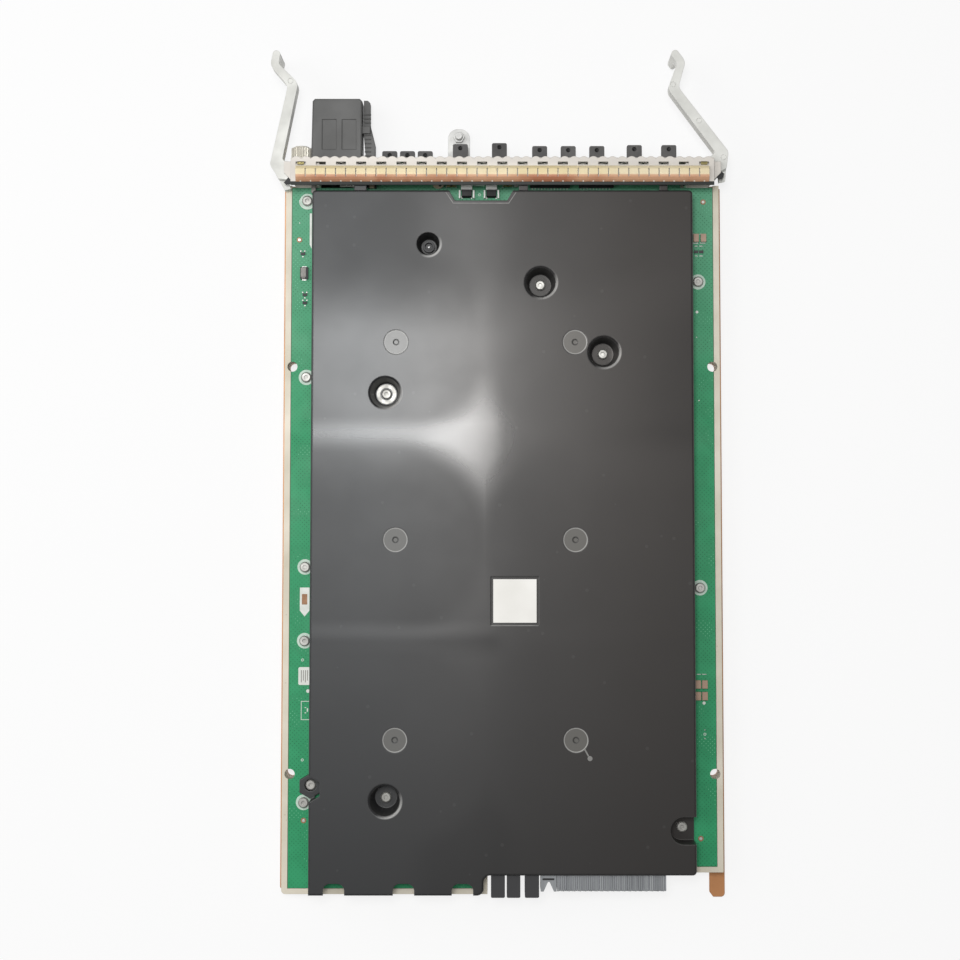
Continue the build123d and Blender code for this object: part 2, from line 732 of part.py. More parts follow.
def port_windows():
    """Cuts in the panel for the ports, the inlet and the levers."""
    z0 = cage_bottom - port_clear / 2
    z1 = board_bottom + port_clear
    y0 = panel_inner - 1
    y1 = panel_face + 1
    cuts = []
    for x in wide_port_xs:
        half = wide_cage_width / 2 + port_clear
        cuts.append(block(x - half, x + half, y0, y1, z0, z1))
    ganged_half = narrow_cage_width / 2 + port_clear
    cuts.append(block(ganged_xs[0] - ganged_half, ganged_xs[-1] + ganged_half, y0, y1, z0, z1))
    for x in single_port_xs:
        cuts.append(block(x - ganged_half, x + ganged_half, y0, y1, z0, z1))
    jack_half = jack_pitch / 2 + port_clear
    cuts.append(block(jack_xs[0] - jack_half, jack_xs[-1] + jack_half, y0, y1, z0, z1))
    inlet_half = inlet_width / 2 - inlet_lip
    cuts.append(block(plug_center_x - inlet_half, plug_center_x + inlet_half, y0, y1,
                      z0, inlet_top - inlet_lip / 2))
    cuts.append(rod_y(thumb_x, thumb_z, bushing_radius, y0, y1))
    slot_inner = pivot_x - hub_radius - ear_thick - slot_clear
    for x0, x1 in ((-panel_half - 1, -slot_inner), (slot_inner, panel_half + 1)):
        cuts.append(block(x0, x1, y0, y1, ear_low, ear_high))
    return cuts


def vents():
    """Staggered rows of hexagonal holes through the upper part of the panel."""
    radius = vent_flat / 2 / cos(pi / 6)
    cell = RegularPolygon(radius, 6, rotation=30)
    vent_half = panel_half - vent_end_margin
    made = []
    for row, z in enumerate(vent_rows_z):
        shift = lip_pitch / 2 * (row % 2)
        count = int((2 * vent_half - shift) / lip_pitch)
        for i in range(count):
            x = -vent_half + shift + (i + 0.5) * lip_pitch
            hole = extrude(cell, sheet + 2)
            made.append(Pos(x, panel_face + 1, z) * Rot(90, 0, 0) * hole)
    return made


def faceplate():
    body = block(-panel_half, panel_half, panel_inner, panel_face, plate_thick, panel_top)
    body += block(-panel_half, panel_half, flange_back, panel_face, flange_under, panel_top)
    body += block(-nose_half + 1, nose_half - 1, panel_face - foot_depth, panel_face,
                  plate_thick, plate_thick + sheet)
    body -= block(-panel_half - 1, panel_half + 1, panel_face - lip_valley, panel_face + 1,
                  flange_under, panel_top + 1)
    body += lip()
    pitch = 2 * finger_pitch
    count = int(2 * panel_half / pitch)
    first = -(count - 1) * pitch / 2
    slot_y = panel_face - clip_slot_from_face
    slots = [block(first + i * pitch - clip_slot_length / 2, first + i * pitch + clip_slot_length / 2,
                   slot_y - clip_slot_width / 2, slot_y + clip_slot_width / 2,
                   flange_under - 1, panel_top + 1) for i in range(count)]
    return body - port_windows() - slots - vents()


def finger_gasket():
    """A sprung strip of arched fingers, slit apart between two rails."""
    crown = [(gasket_back + share * gasket_depth, panel_top + lift * (gasket_rise - gasket_sheet))
             for share, lift in gasket_profile]
    outline = [(0, y, z + gasket_sheet) for y, z in crown] + [(0, y, z) for y, z in reversed(crown)]
    section = make_face(Polyline(*outline, close=True))
    strip = Pos(-gasket_half, 0, 0) * extrude(section, 2 * gasket_half, dir=(1, 0, 0))
    count = int(2 * gasket_half / finger_pitch)
    first = -(count - 1) * finger_pitch / 2
    slits = [block(first + i * finger_pitch - finger_slit / 2, first + i * finger_pitch + finger_slit / 2,
                   gasket_back + slit_back_margin, gasket_front - slit_front_margin, panel_top - 1,
                   panel_top + gasket_rise + 1) for i in range(count)]
    return strip - slits


def rounded_plan(corners):
    """A flat face with the given corners, each with its own radius."""
    plan = make_face(Polyline(*[(x, y) for x, y, radius in corners], close=True))
    for x, y, radius in corners:
        if radius > 0:
            plan = fillet(plan.vertices().sort_by_distance((x, y, 0))[0], radius)
    return plan


def lever_closed():
    """The left lever in its closed place, pivot at the origin."""
    inner_y = lever_arm_offset - lever_arm_width / 2
    outer_y = lever_arm_offset + lever_arm_width / 2
    inner_radius, outer_radius, tip_radius = hook_radii
    tip_x = lever_arm_length + hook_reach
    crown_y = lever_arm_offset + hook_outer[1]
    plan = rounded_plan([
        (hub_radius, 0, 0),
        (lever_armpit[0], inner_y, lever_armpit[1]),
        (lever_arm_length + lever_bend_shift, inner_y, lever_bend_radii[0]),
        (lever_arm_length + hook_inner[0], lever_arm_offset + hook_inner[1], inner_radius),
        (tip_x, crown_y - hook_band, tip_radius),
        (tip_x, crown_y, tip_radius),
        (lever_arm_length + hook_outer[0], crown_y, outer_radius),
        (lever_arm_length - lever_bend_shift, outer_y - lever_neck_slim, lever_bend_radii[1]),
        (lever_shoulder[0], outer_y, lever_shoulder[1]),
        (*lever_heel, 0),
        (-hub_radius, 0, 0)])
    drop_x = tip_x - hook_drop_length
    drop = rounded_plan([
        (drop_x, crown_y - hook_band, hook_drop_round), (tip_x, crown_y - hook_band, tip_radius),
        (tip_x, crown_y, tip_radius), (drop_x, crown_y, hook_drop_round)])
    claw = make_face(Polyline(*lever_claw, (-hub_radius, 0), (hub_radius, 0), close=True))
    body = extrude(plan, lever_height) + extrude(claw, claw_height)
    body += extrude(drop, lever_height - hook_depth)
    body += Pos(0, 0, lever_height / 2) * Cylinder(hub_radius, lever_height)
    body -= Pos(0, 0, lever_height / 2) * Cylinder(pin_radius + pin_clear, lever_height + 2)
    return body


def lever(side, angle):
    """A lever in its photographed place; side is -1 for left and 1 for right."""
    body = lever_closed()
    if side > 0:
        body = mirror(body, Plane.YZ)
    return Pos(side * pivot_x, pivot_y, lever_bottom) * Rot(0, 0, -side * angle) * body


def pivot_bracket(side):
    """Two ears round the lever's hub, joined by a web and riveted to the panel."""
    low = ear_low
    high = ear_high
    outline = [(ear_inner, -ear_back), (ear_inner, ear_front), (-ear_outer, ear_front),
               (-ear_outer, ear_corner[1]), (ear_corner[0], -ear_back)]
    ears = slab(outline, low - ear_thick, low) + slab(outline, high, high + ear_thick)
    web = block(ear_inner - web_thick, ear_inner, -ear_back, ear_front, low - ear_thick, high + ear_thick)
    flange = block(ear_inner - web_thick, ear_inner + rivet_flange, ear_front - web_thick, ear_front,
                   low - ear_thick, low - ear_thick + rivet_flange_rise)
    body = ears + web + flange
    body -= post(0, 0, pin_radius + pin_seat_clear, low - ear_thick - 1, high + ear_thick + 1)
    if side > 0:
        body = mirror(body, Plane.YZ)
    return Pos(side * pivot_x, pivot_y, 0) * body


def pivot_pin(side):
    high = ear_high + ear_thick
    shaft = post(side * pivot_x, pivot_y, pin_radius, ear_low - ear_thick, high)
    return shaft + post(side * pivot_x, pivot_y, pin_head_radius, high, high + pin_head_thick)


def thumbscrew():
    """Knurled knob with a domed end, its neck and its shank."""
    start = panel_face + bushing_flange_thick + turn_clear
    ring = []
    for i in range(2 * thumb_teeth):
        radius = thumb_radius - tooth_depth * (i % 2)
        ring.append((radius * cos(pi * i / thumb_teeth), radius * sin(pi * i / thumb_teeth)))
    knob = extrude(make_face(Polyline(*ring, close=True)), thumb_length)
    knob += cone(0, 0, thumb_radius - thumb_dome, thumb_radius - 2 * thumb_dome, thumb_length,
                 thumb_length + thumb_dome)
    knob -= Pos(0, 0, thumb_length + thumb_dome) * Box(thumb_slot[0], thumb_radius, 2 * thumb_slot[1])
    knob = Pos(thumb_x, start, thumb_z) * Rot(-90, 0, 0) * knob
    return knob + rod_y(thumb_x, thumb_z, thumb_shank, start - shank_length, start)


def thumbscrew_bushing():
    bush = rod_y(thumb_x, thumb_z, bushing_radius, panel_inner - bushing_length, panel_face)
    bush += rod_y(thumb_x, thumb_z, bushing_flange, panel_face, panel_face + bushing_flange_thick)
    return bush - rod_y(thumb_x, thumb_z, thumb_shank + turn_clear, panel_inner - 2 * bushing_length,
                        panel_face + bushing_length)


def power_inlet():
    half = inlet_width / 2
    back = panel_inner - inlet_depth
    body = block(plug_center_x - half, plug_center_x + half, back, panel_inner, cage_bottom, inlet_top)
    width, height = nose_size
    z0 = nose_middle_z - height / 2
    cavity = block(plug_center_x - width / 2 - nose_clear, plug_center_x + width / 2 + nose_clear,
                   back + inlet_back_wall, panel_inner + 1, z0 - nose_clear, z0 + height + nose_clear)
    return body - cavity


def inlet_contacts():
    back = panel_inner - inlet_depth + inlet_back_wall
    return Compound(children=[rod_y(x, nose_middle_z, contact_radius, back, back + contact_length)
                              for x in contact_xs])


def power_plug():
    """The plug's shell, drafted towards its front, with its nose and latch ears."""
    y0 = plug_back
    half = plug_width / 2
    left = plug_center_x - half
    right = plug_center_x + half
    outline = [(left - plug_draft, y0), (left, plug_front - plug_chamfer), (left + plug_chamfer, plug_front),
               (right - plug_chamfer, plug_front), (right, plug_front - plug_chamfer), (right, y0)]
    body = slab(outline, plug_bottom, plug_top)
    body = chamfer(body.edges().group_by(Axis.Z)[-1], plug_rim)
    wide, long, deep = plug_recess
    start = y0 + plug_recess_start
    for offset in plug_recess_xs:
        x = plug_center_x + offset
        body -= block(x - wide / 2, x + wide / 2, start, start + long, plug_top - deep, plug_top + 1)
    width, height = nose_size
    z0 = nose_middle_z - height / 2
    tip = panel_inner - nose_reach
    body += block(plug_center_x - width / 2, plug_center_x + width / 2, tip, y0, z0, z0 + height)
    body -= [rod_y(x, nose_middle_z, contact_radius + contact_clear, tip - 1, panel_inner) for x in contact_xs]
    low, high = latch_z
    outer = latch_ear_clear + latch_ear_thick
    ears = [block(right - latch_ear_clear, latch_pivot_x + latch_ear_half,
                  latch_pivot_y - latch_ear_half, latch_pivot_y + latch_ear_half, bottom, bottom + latch_ear_thick)
            for bottom in (low - outer, high + latch_ear_clear)]
    body += ears
    return body + post(latch_pivot_x, latch_pivot_y, latch_pin_radius,
                       low - latch_ear_clear, high + latch_ear_clear)


def plug_latch():
    """Side latch of the plug: a rocking arm on an upright pin."""
    low, high = latch_z
    inner = plug_center_x + plug_width / 2 + latch_side_gap
    outer = inner + latch_thick
    bend, waist, narrow = [latch_pivot_y + offset for offset in latch_waist]
    foot = plug_back + latch_ear_clear
    tip = plug_front - latch_front_gap
    outline = [(inner, tip), (outer - plug_chamfer, tip), (outer, tip - plug_chamfer), (outer, bend),
               (outer + latch_step, narrow), (outer + latch_step, foot), (inner + latch_heel_gap, foot),
               (inner, waist), (inner, bend)]
    body = slab(outline, low, high)
    return body - post(latch_pivot_x, latch_pivot_y, latch_pin_radius + pin_clear, low - 1, high + 1)


def cage(x_mid, bays, pitch, bay_width, depth, wall):
    """A folded port cage with its bays open at the front."""
    width = (bays - 1) * pitch + bay_width
    y1 = panel_face + cage_out
    y0 = y1 - depth
    body = block(x_mid - width / 2, x_mid + width / 2, y0, y1, cage_bottom, board_bottom)
    for i in range(bays):
        x = x_mid + (i - (bays - 1) / 2) * pitch
        half = bay_width / 2 - wall
        body -= block(x - half, x + half, y0 + wall, y1 + 1, cage_bottom + wall, board_bottom - wall)
    return body


def dust_cap(x, bay_width, wall, depth, reach):
    """A port plug with a collar and a holed pull tab."""
    half = bay_width / 2 - wall - port_clear
    z0 = cage_bottom + wall + port_clear
    z1 = board_bottom - wall - port_clear
    seat = panel_face + cage_out + port_clear
    body = block(x - half, x + half, seat - depth, seat, z0, z1)
    rim = bay_width / 2 - cap_rim_inset
    body += block(x - rim, x + rim, seat, seat + cap_collar, cage_bottom + cap_rim_inset,
                  board_bottom - cap_rim_inset)
    tab_half = tab_width / 2
    front = panel_face + reach
    tab = block(x - tab_half, x + tab_half, seat + cap_collar, front, tab_z, tab_z + tab_thick)
    tab = rounded(tab, lambda c: c.Y > front - 0.1, tab_round)
    body += tab
    return body - post(x, front - tab_hole_inset, tab_hole_radius, tab_z - 1, tab_z + tab_thick + 1)


def ground_lug():
    half = ground_lug_width / 2
    body = block(lug_x - half, lug_x + half, ground_lug_back, ground_lug_front, 0, plate_thick)
    body = rounded(body, lambda c: c.Y > ground_lug_front - 1, ground_lug_round)
    return body - post(lug_x, stud_y, stud_base_radius, -1, plate_thick + 1)


def ground_stud():
    """Stud with a plain base under the nut and a thinner free end."""
    base = post(lug_x, stud_y, stud_base_radius, 0, nut_top)
    return base + post(lug_x, stud_y, stud_radius, nut_top, plate_thick + stud_height)


def ground_nut():
    nut = Pos(lug_x, stud_y, plate_thick) * extrude(RegularPolygon(nut_radius, 6), nut_height)
    return nut - post(lug_x, stud_y, stud_base_radius + thread_clear, 0, nut_top + 1)


def rear_block(span):
    """A power block with two mating slots in its rear face."""
    x0, x1 = [wafer_start_x + end for end in span]
    body = block(x0, x1, rear_block_back, rear_block_back + rear_block_length, board_top, rear_top)
    body = chamfer(body.faces().sort_by(Axis.Y)[0].edges(), rear_block_bevel)
    middle = (x0 + x1) / 2
    wide, long, high = block_slot
    for rise in block_slot_zs:
        z = board_top + rise
        body -= block(middle - wide / 2, middle + wide / 2, rear_block_back - 1, rear_block_back + long,
                      z - high / 2, z + high / 2)
    return body


def backplane_wafers():
    """The connector's upright wafers, standing side by side on the board."""
    made = []
    for i in range(wafer_count):
        x0 = wafer_start_x + i * wafer_pitch
        made.append(block(x0, x0 + wafer_pitch - wafer_gap, wafer_back + organizer_thick,
                          wafer_back + wafer_length, board_top + organizer_thick, rear_top))
    return Compound(children=made)


def backplane_housing():
    """Base and rear shroud that line the wafers up, with a guide slot at one end."""
    x0 = wafer_start_x
    x1 = wafer_end_x
    low, high = wafer_slot_share
    base = block(x0, x1, wafer_back, wafer_back + wafer_length, board_top, board_top + organizer_thick)
    shroud = block(x0, x1, wafer_back, wafer_back + organizer_thick, board_top, rear_top)
    slots = [block(x0 + (i + low) * wafer_pitch, x0 + (i + high) * wafer_pitch, wafer_back - 1,
                   wafer_back + organizer_thick / 2, board_top + organizer_thick, rear_top - organizer_thick)
             for i in range(wafer_count)]
    return base + shroud - slots


def processors():
    made = []
    for y in from_ends((), sinks_from_rear):
        base = block(sink_center_x - processor_side / 2, sink_center_x + processor_side / 2,
                     y - processor_side / 2, y + processor_side / 2, board_top, board_top + processor_thick)
        made.append(base)
    return Compound(children=made)


def heat_sink(y):
    """An extruded sink with straight fins along the air's way."""
    width, length = sink_size
    z0 = board_top + processor_thick
    body = block(sink_center_x - width / 2, sink_center_x + width / 2, y - length / 2, y + length / 2,
                 z0, z0 + sink_base)
    count = int((width - fin_thick) / fin_pitch) + 1
    first = -(count - 1) * fin_pitch / 2
    fins = [block(sink_center_x + first + i * fin_pitch - fin_thick / 2,
                  sink_center_x + first + i * fin_pitch + fin_thick / 2,
                  y - length / 2, y + length / 2, z0 + sink_base, sink_top) for i in range(count)]
    return body + fins


def memory_chips():
    width, length, height = memory_size
    memory_xs = [baffle_half - inset for inset in memory_insets]
    memory_ys = from_ends((), memory_from_rear)
    return Compound(children=[block(x - width / 2, x + width / 2, y - length / 2, y + length / 2,
                                    board_top, board_top + height) for x in memory_xs for y in memory_ys])


def power_modules():
    width, length, height = module_size
    made = []
    x = -baffle_half + module_inset
    groove_width, groove_depth = module_groove
    first = x - (module_groove_count - 1) * module_groove_pitch / 2
    for y in from_ends(modules_from_front, ()):
        brick = block(x - width / 2, x + width / 2, y - length / 2, y + length / 2,
                      board_top, board_top + height)
        grooves = [block(first + i * module_groove_pitch - groove_width / 2,
                         first + i * module_groove_pitch + groove_width / 2,
                         y - length / 2 - 1, y + length / 2 + 1, board_top + height - groove_depth,
                         board_top + height + 1) for i in range(module_groove_count)]
        made.append(brick - grooves)
    return Compound(children=made)


def bulk_capacitors():
    made = []
    for y in from_ends((), bulk_from_rear):
        can = post(bulk_inset - baffle_half, y, bulk_radius, board_top, board_top + bulk_height)
        made.append(chamfer(can.edges().group_by(Axis.Z)[-1], bulk_bevel))
    return Compound(children=made)


def lamp_holders():
    """Two small right-angle lamp holders behind the panel, seen in the baffle's notch."""
    made = []
    width, length, height = lamp_body
    top_width, top_length, top_height = lamp_top
    foot_width, foot_length, foot_height = lamp_foot
    for x in lamp_xs:
        front = plate_front - lamp_from_front + length / 2
        body = block(x - width / 2, x + width / 2, front - length, front, board_top, board_top + height)
        body += block(x - top_width / 2, x + top_width / 2, front, front + top_length, board_top,
                      board_top + top_height)
        body += [block(x + s * lamp_foot_x - foot_width / 2, x + s * lamp_foot_x + foot_width / 2,
                       front - length, front - length + foot_length, board_top, board_top + foot_height)
                 for s in (-1, 1)]
        made.append(body)
    return Compound(children=made)


def chip_parts(spots, size):
    """Small parts on the board's side strips, placed from the frame's outside and the plate's ends."""
    width, length, height = size
    made = []
    for side, inset, along in spots:
        x = side * (frame_half - inset)
        y = (plate_front if along > 0 else plate_rear) - along
        made.append(block(x - width / 2, x + width / 2, y - length / 2, y + length / 2,
                          board_top, board_top + height))
    return Compound(children=made)


def narrow_depth_cage(x_mid, bays):
    return cage(x_mid, bays, ganged_pitch, narrow_cage_width, narrow_cage_depth, cage_wall)


def build_nodes():
    nodes = {
        "bottom_plate": bottom_plate(),
        "plate_screws": plate_screws(),
        "side_frame": side_frame(),
        "circuit_board": circuit_board(),
        "board_screws": board_screws(),
        "board_standoffs": standoffs(),
        "air_baffle": air_baffle(),
        "baffle_screws": baffle_screws(),
        "baffle_ring": baffle_ring(),
        "baffle_pin": baffle_pin(),
        "label_plate": label_plate(),
        "faceplate": faceplate(),
        "finger_gasket": finger_gasket(),
        "left_bracket": pivot_bracket(-1),
        "right_bracket": pivot_bracket(1),
        "left_pivot_pin": pivot_pin(-1),
        "right_pivot_pin": pivot_pin(1),
        "left_lever": lever(-1, left_open_angle),
        "right_lever": lever(1, right_open_angle),
        "thumbscrew": thumbscrew(),
        "thumbscrew_bushing": thumbscrew_bushing(),
        "power_inlet": power_inlet(),
        "inlet_contacts": inlet_contacts(),
        "power_plug": power_plug(),
        "plug_latch": plug_latch(),
        "sync_jacks": cage(jack_xs[1], jack_count, jack_pitch, jack_pitch, jack_depth, jack_wall),
        "wide_cage_1": cage(wide_port_xs[0], 1, 0, wide_cage_width, wide_cage_depth, cage_wall),
        "wide_cage_2": cage(wide_port_xs[1], 1, 0, wide_cage_width, wide_cage_depth, cage_wall),
        "ganged_cage": narrow_depth_cage(ganged_xs[1], ganged_count),
        "single_cage_1": narrow_depth_cage(single_port_xs[0], 1),
        "single_cage_2": narrow_depth_cage(single_port_xs[1], 1),
        "ground_lug": ground_lug(),
        "ground_stud": ground_stud(),
        "ground_nut": ground_nut(),
        "backplane_wafers": backplane_wafers(),
        "backplane_housing": backplane_housing(),
        "processors": processors(),
        "memory_chips": memory_chips(),
        "power_modules": power_modules(),
        "bulk_capacitors": bulk_capacitors(),
        "lamp_holders": lamp_holders(),
        "small_chip": chip_parts(chip_spots, chip_size),
        "chip_resistors": chip_parts(resistor_spots, resistor_size),
        "chip_capacitors": chip_parts(capacitor_spots, capacitor_size),
    }
    for i, span in enumerate(rear_block_spans):
        nodes[f"rear_block_{i + 1}"] = rear_block(span)
    for i, y in enumerate(from_ends((), sinks_from_rear)):
        nodes[f"heat_sink_{i + 1}"] = heat_sink(y)
    cap_kinds = [(jack_pitch, jack_wall, jack_cap_depth)] * jack_count
    cap_kinds += [(wide_cage_width, cage_wall, wide_cap_depth)] * len(wide_port_xs)
    cap_kinds += [(narrow_cage_width, cage_wall, cap_depth)] * len(narrow_xs)
    for i, (x, kind, reach) in enumerate(zip(cap_xs, cap_kinds, tab_reaches)):
        nodes[f"dust_cap_{i + 1}"] = dust_cap(x, *kind, reach)
    return nodes


os.makedirs("parts", exist_ok=True)
for node_name, node_shape in build_nodes().items():
    export_step(node_shape, f"parts/{node_name}.step")
print("sub-parts written")
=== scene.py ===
import bmesh
import bpy
import math
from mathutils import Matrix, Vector


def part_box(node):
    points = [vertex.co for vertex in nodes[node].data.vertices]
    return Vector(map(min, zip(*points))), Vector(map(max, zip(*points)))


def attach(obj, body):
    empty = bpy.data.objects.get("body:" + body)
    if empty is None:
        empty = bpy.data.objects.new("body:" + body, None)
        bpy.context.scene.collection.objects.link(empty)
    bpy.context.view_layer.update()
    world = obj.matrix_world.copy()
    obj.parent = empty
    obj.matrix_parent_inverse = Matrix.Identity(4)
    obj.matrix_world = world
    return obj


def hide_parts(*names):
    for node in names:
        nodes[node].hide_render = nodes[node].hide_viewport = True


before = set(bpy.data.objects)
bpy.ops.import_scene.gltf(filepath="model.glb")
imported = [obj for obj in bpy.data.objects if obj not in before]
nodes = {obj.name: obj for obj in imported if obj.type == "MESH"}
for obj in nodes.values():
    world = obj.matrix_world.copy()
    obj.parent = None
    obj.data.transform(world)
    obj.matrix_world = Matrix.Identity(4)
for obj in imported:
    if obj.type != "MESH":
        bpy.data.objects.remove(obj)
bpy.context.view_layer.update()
mm = 0.001
print("packed model loaded")


def linear(value):
    value = value / 255
    return value / 12.92 if value <= 0.04045 else ((value + 0.055) / 1.055) ** 2.4


def colour(red, green, blue):
    return (linear(red), linear(green), linear(blue), 1.0)


# node tree helpers
def addNode(tree, kind, **settings):
    node = tree.nodes.new(kind)
    for key, value in settings.items():
        setattr(node, key, value)
    return node


def setInputs(node, **values):
    for key, value in values.items():
        node.inputs[key.replace("_", " ")].default_value = value
    return node


def mathNode(tree, operation, first, second=None, third=None):
    node = addNode(tree, "ShaderNodeMath", operation=operation)
    for socket, value in zip(node.inputs, (first, second, third)):
        if value is None:
            continue
        if isinstance(value, (int, float)):
            socket.default_value = value
        else:
            tree.links.new(value, socket)
    return node.outputs[0]


def ramp(tree, value, low, high, outLow=0.0, outHigh=1.0):
    node = addNode(tree, "ShaderNodeMapRange")
    for index, number in enumerate((low, high, outLow, outHigh)):
        node.inputs[index + 1].default_value = number
    tree.links.new(value, node.inputs[0])
    return node.outputs[0]


def blendColours(tree, factor, first, second):
    node = addNode(tree, "ShaderNodeMix", data_type="RGBA")
    for socket, value in ((node.inputs[0], factor), (node.inputs[6], first), (node.inputs[7], second)):
        if isinstance(value, (int, float, tuple)):
            socket.default_value = value
        else:
            tree.links.new(value, socket)
    return node.outputs[2]


def objectPlace(tree):
    # x, y and z of the shaded point in the model's own frame, in metres
    place = addNode(tree, "ShaderNodeTexCoord")
    split = addNode(tree, "ShaderNodeSeparateXYZ")
    tree.links.new(place.outputs["Object"], split.inputs[0])
    return split.outputs[0], split.outputs[1], split.outputs[2]


def newGroup(name, inputs, outputs):
    tree = bpy.data.node_groups.new(name, "ShaderNodeTree")
    for label, kind, value in inputs:
        socket = tree.interface.new_socket(label, in_out="INPUT", socket_type=kind)
        socket.default_value = value
    for label, kind in outputs:
        tree.interface.new_socket(label, in_out="OUTPUT", socket_type=kind)
    return tree, addNode(tree, "NodeGroupInput"), addNode(tree, "NodeGroupOutput")


def placeGroup(tree, group, **values):
    node = addNode(tree, "ShaderNodeGroup", node_tree=group)
    return setInputs(node, **values)


edgeFinder = {"samples": 6, "flat": 0.995, "sharp": 0.86}  # cosines where wear starts and is full


def makeSoftEdges():
    # rounds the shading of sharp edges and finds where they are
    tree, given, out = newGroup("softEdges", [("Radius", "NodeSocketFloat", 0.0004)],
                                [("Normal", "NodeSocketVector"), ("Edge", "NodeSocketFloat")])
    bevel = addNode(tree, "ShaderNodeBevel", samples=edgeFinder["samples"])
    tree.links.new(given.outputs["Radius"], bevel.inputs["Radius"])
    flat = addNode(tree, "ShaderNodeNewGeometry")
    dot = addNode(tree, "ShaderNodeVectorMath", operation="DOT_PRODUCT")
    tree.links.new(bevel.outputs[0], dot.inputs[0])
    tree.links.new(flat.outputs["Normal"], dot.inputs[1])
    edge = ramp(tree, dot.outputs["Value"], edgeFinder["flat"], edgeFinder["sharp"])
    tree.links.new(bevel.outputs[0], out.inputs["Normal"])
    tree.links.new(edge, out.inputs["Edge"])
    return tree


def makeGrain():
    # two sizes of noise, for mottle and for a fine surface
    inputs = [("Fine", "NodeSocketFloat", 2500.0), ("Broad", "NodeSocketFloat", 60.0),
              ("Stretch", "NodeSocketVector", (1.0, 1.0, 1.0))]
    outputs = [("Height", "NodeSocketFloat"), ("Mottle", "NodeSocketFloat")]
    tree, given, out = newGroup("surfaceGrain", inputs, outputs)
    place = addNode(tree, "ShaderNodeTexCoord")
    scaled = addNode(tree, "ShaderNodeVectorMath", operation="MULTIPLY")
    tree.links.new(place.outputs["Object"], scaled.inputs[0])
    tree.links.new(given.outputs["Stretch"], scaled.inputs[1])
    for label, output, detail in (("Fine", "Height", 3.0), ("Broad", "Mottle", 4.0)):
        noise = addNode(tree, "ShaderNodeTexNoise")
        noise.inputs["Detail"].default_value = detail
        tree.links.new(scaled.outputs[0], noise.inputs["Vector"])
        tree.links.new(given.outputs[label], noise.inputs["Scale"])
        tree.links.new(noise.outputs["Fac"], out.inputs[output])
    return tree


def makeSpecks():
    # scattered round specks, such as dust or pinholes
    inputs = [("Spacing", "NodeSocketFloat", 300.0), ("Size", "NodeSocketFloat", 0.12),
              ("Rarity", "NodeSocketFloat", 0.72)]
    tree, given, out = newGroup("scatteredSpecks", inputs, [("Mask", "NodeSocketFloat")])
    place = addNode(tree, "ShaderNodeTexCoord")
    cells = addNode(tree, "ShaderNodeTexVoronoi")
    tree.links.new(place.outputs["Object"], cells.inputs["Vector"])
    tree.links.new(given.outputs["Spacing"], cells.inputs["Scale"])
    near = mathNode(tree, "LESS_THAN", cells.outputs["Distance"], given.outputs["Size"])
    split = addNode(tree, "ShaderNodeSeparateColor")
    tree.links.new(cells.outputs["Color"], split.inputs[0])
    rare = mathNode(tree, "GREATER_THAN", split.outputs[0], given.outputs["Rarity"])
    tree.links.new(mathNode(tree, "MULTIPLY", near, rare), out.inputs["Mask"])
    return tree


softEdges = makeSoftEdges()
surfaceGrain = makeGrain()
scatteredSpecks = makeSpecks()
print("shared node groups built")


def startMaterial(name):
    material = bpy.data.materials.new(name)
    material.use_nodes = True
    return material, material.node_tree, material.node_tree.nodes["Principled BSDF"]


mottleSpan = (0.3, 0.7)  # range of the broad noise that is used
commonLook = {"edgeRadius": 0.35, "fine": 2500.0, "broad": 60.0, "stretch": (1.0, 1.0, 1.0), "wear": 0.4,
              "specks": 0.0, "speckSpacing": 300.0, "speckSize": 0.12, "metallic": 0.0, "specular": 0.5,
              "grainShare": 0.3, "bump": 0.2, "bumpDistance": 0.05}


def finishSurface(tree, shader, ownLook, baseColour=None, extraHeight=None):
    # shared end of each material: mottled colour, worn edges, specks, roughness and bump
    look = {**commonLook, "wornColour": ownLook.get("second"), **ownLook}
    edges = placeGroup(tree, softEdges, Radius=look["edgeRadius"] * mm)
    grain = placeGroup(tree, surfaceGrain, Fine=look["fine"], Broad=look["broad"], Stretch=look["stretch"])
    if baseColour is None:
        spread = ramp(tree, grain.outputs["Mottle"], *mottleSpan)
        baseColour = blendColours(tree, spread, look["colour"], look["second"])
    worn = mathNode(tree, "MULTIPLY", edges.outputs["Edge"], look["wear"])
    final = blendColours(tree, worn, baseColour, look["wornColour"])
    if look["specks"]:
        specks = placeGroup(tree, scatteredSpecks, Spacing=look["speckSpacing"], Size=look["speckSize"])
        amount = mathNode(tree, "MULTIPLY", specks.outputs["Mask"], look["specks"])
        final = blendColours(tree, amount, final, look["speckColour"])
    tree.links.new(final, shader.inputs["Base Color"])
    roughness = ramp(tree, grain.outputs["Mottle"], *mottleSpan, *look["roughness"])
    tree.links.new(roughness, shader.inputs["Roughness"])
    shader.inputs["Metallic"].default_value = look["metallic"]
    shader.inputs["Specular IOR Level"].default_value = look["specular"]
    height = grain.outputs["Height"]
    if extraHeight is not None:
        height = mathNode(tree, "ADD", mathNode(tree, "MULTIPLY", height, look["grainShare"]), extraHeight)
    bump = addNode(tree, "ShaderNodeBump")
    bump.inputs["Strength"].default_value = look["bump"]
    bump.inputs["Distance"].default_value = look["bumpDistance"] * mm
    tree.links.new(height, bump.inputs["Height"])
    tree.links.new(edges.outputs["Normal"], bump.inputs["Normal"])
    tree.links.new(bump.outputs[0], shader.inputs["Normal"])


def plainFinish(name, look):
    material, tree, shader = startMaterial(name)
    finishSurface(tree, shader, look)
    return material


def paint(nodeName, material):
    piece = nodes[nodeName]
    if not piece.material_slots:
        piece.data.materials.append(material)
    for materialSlot in piece.material_slots:
        materialSlot.material = material


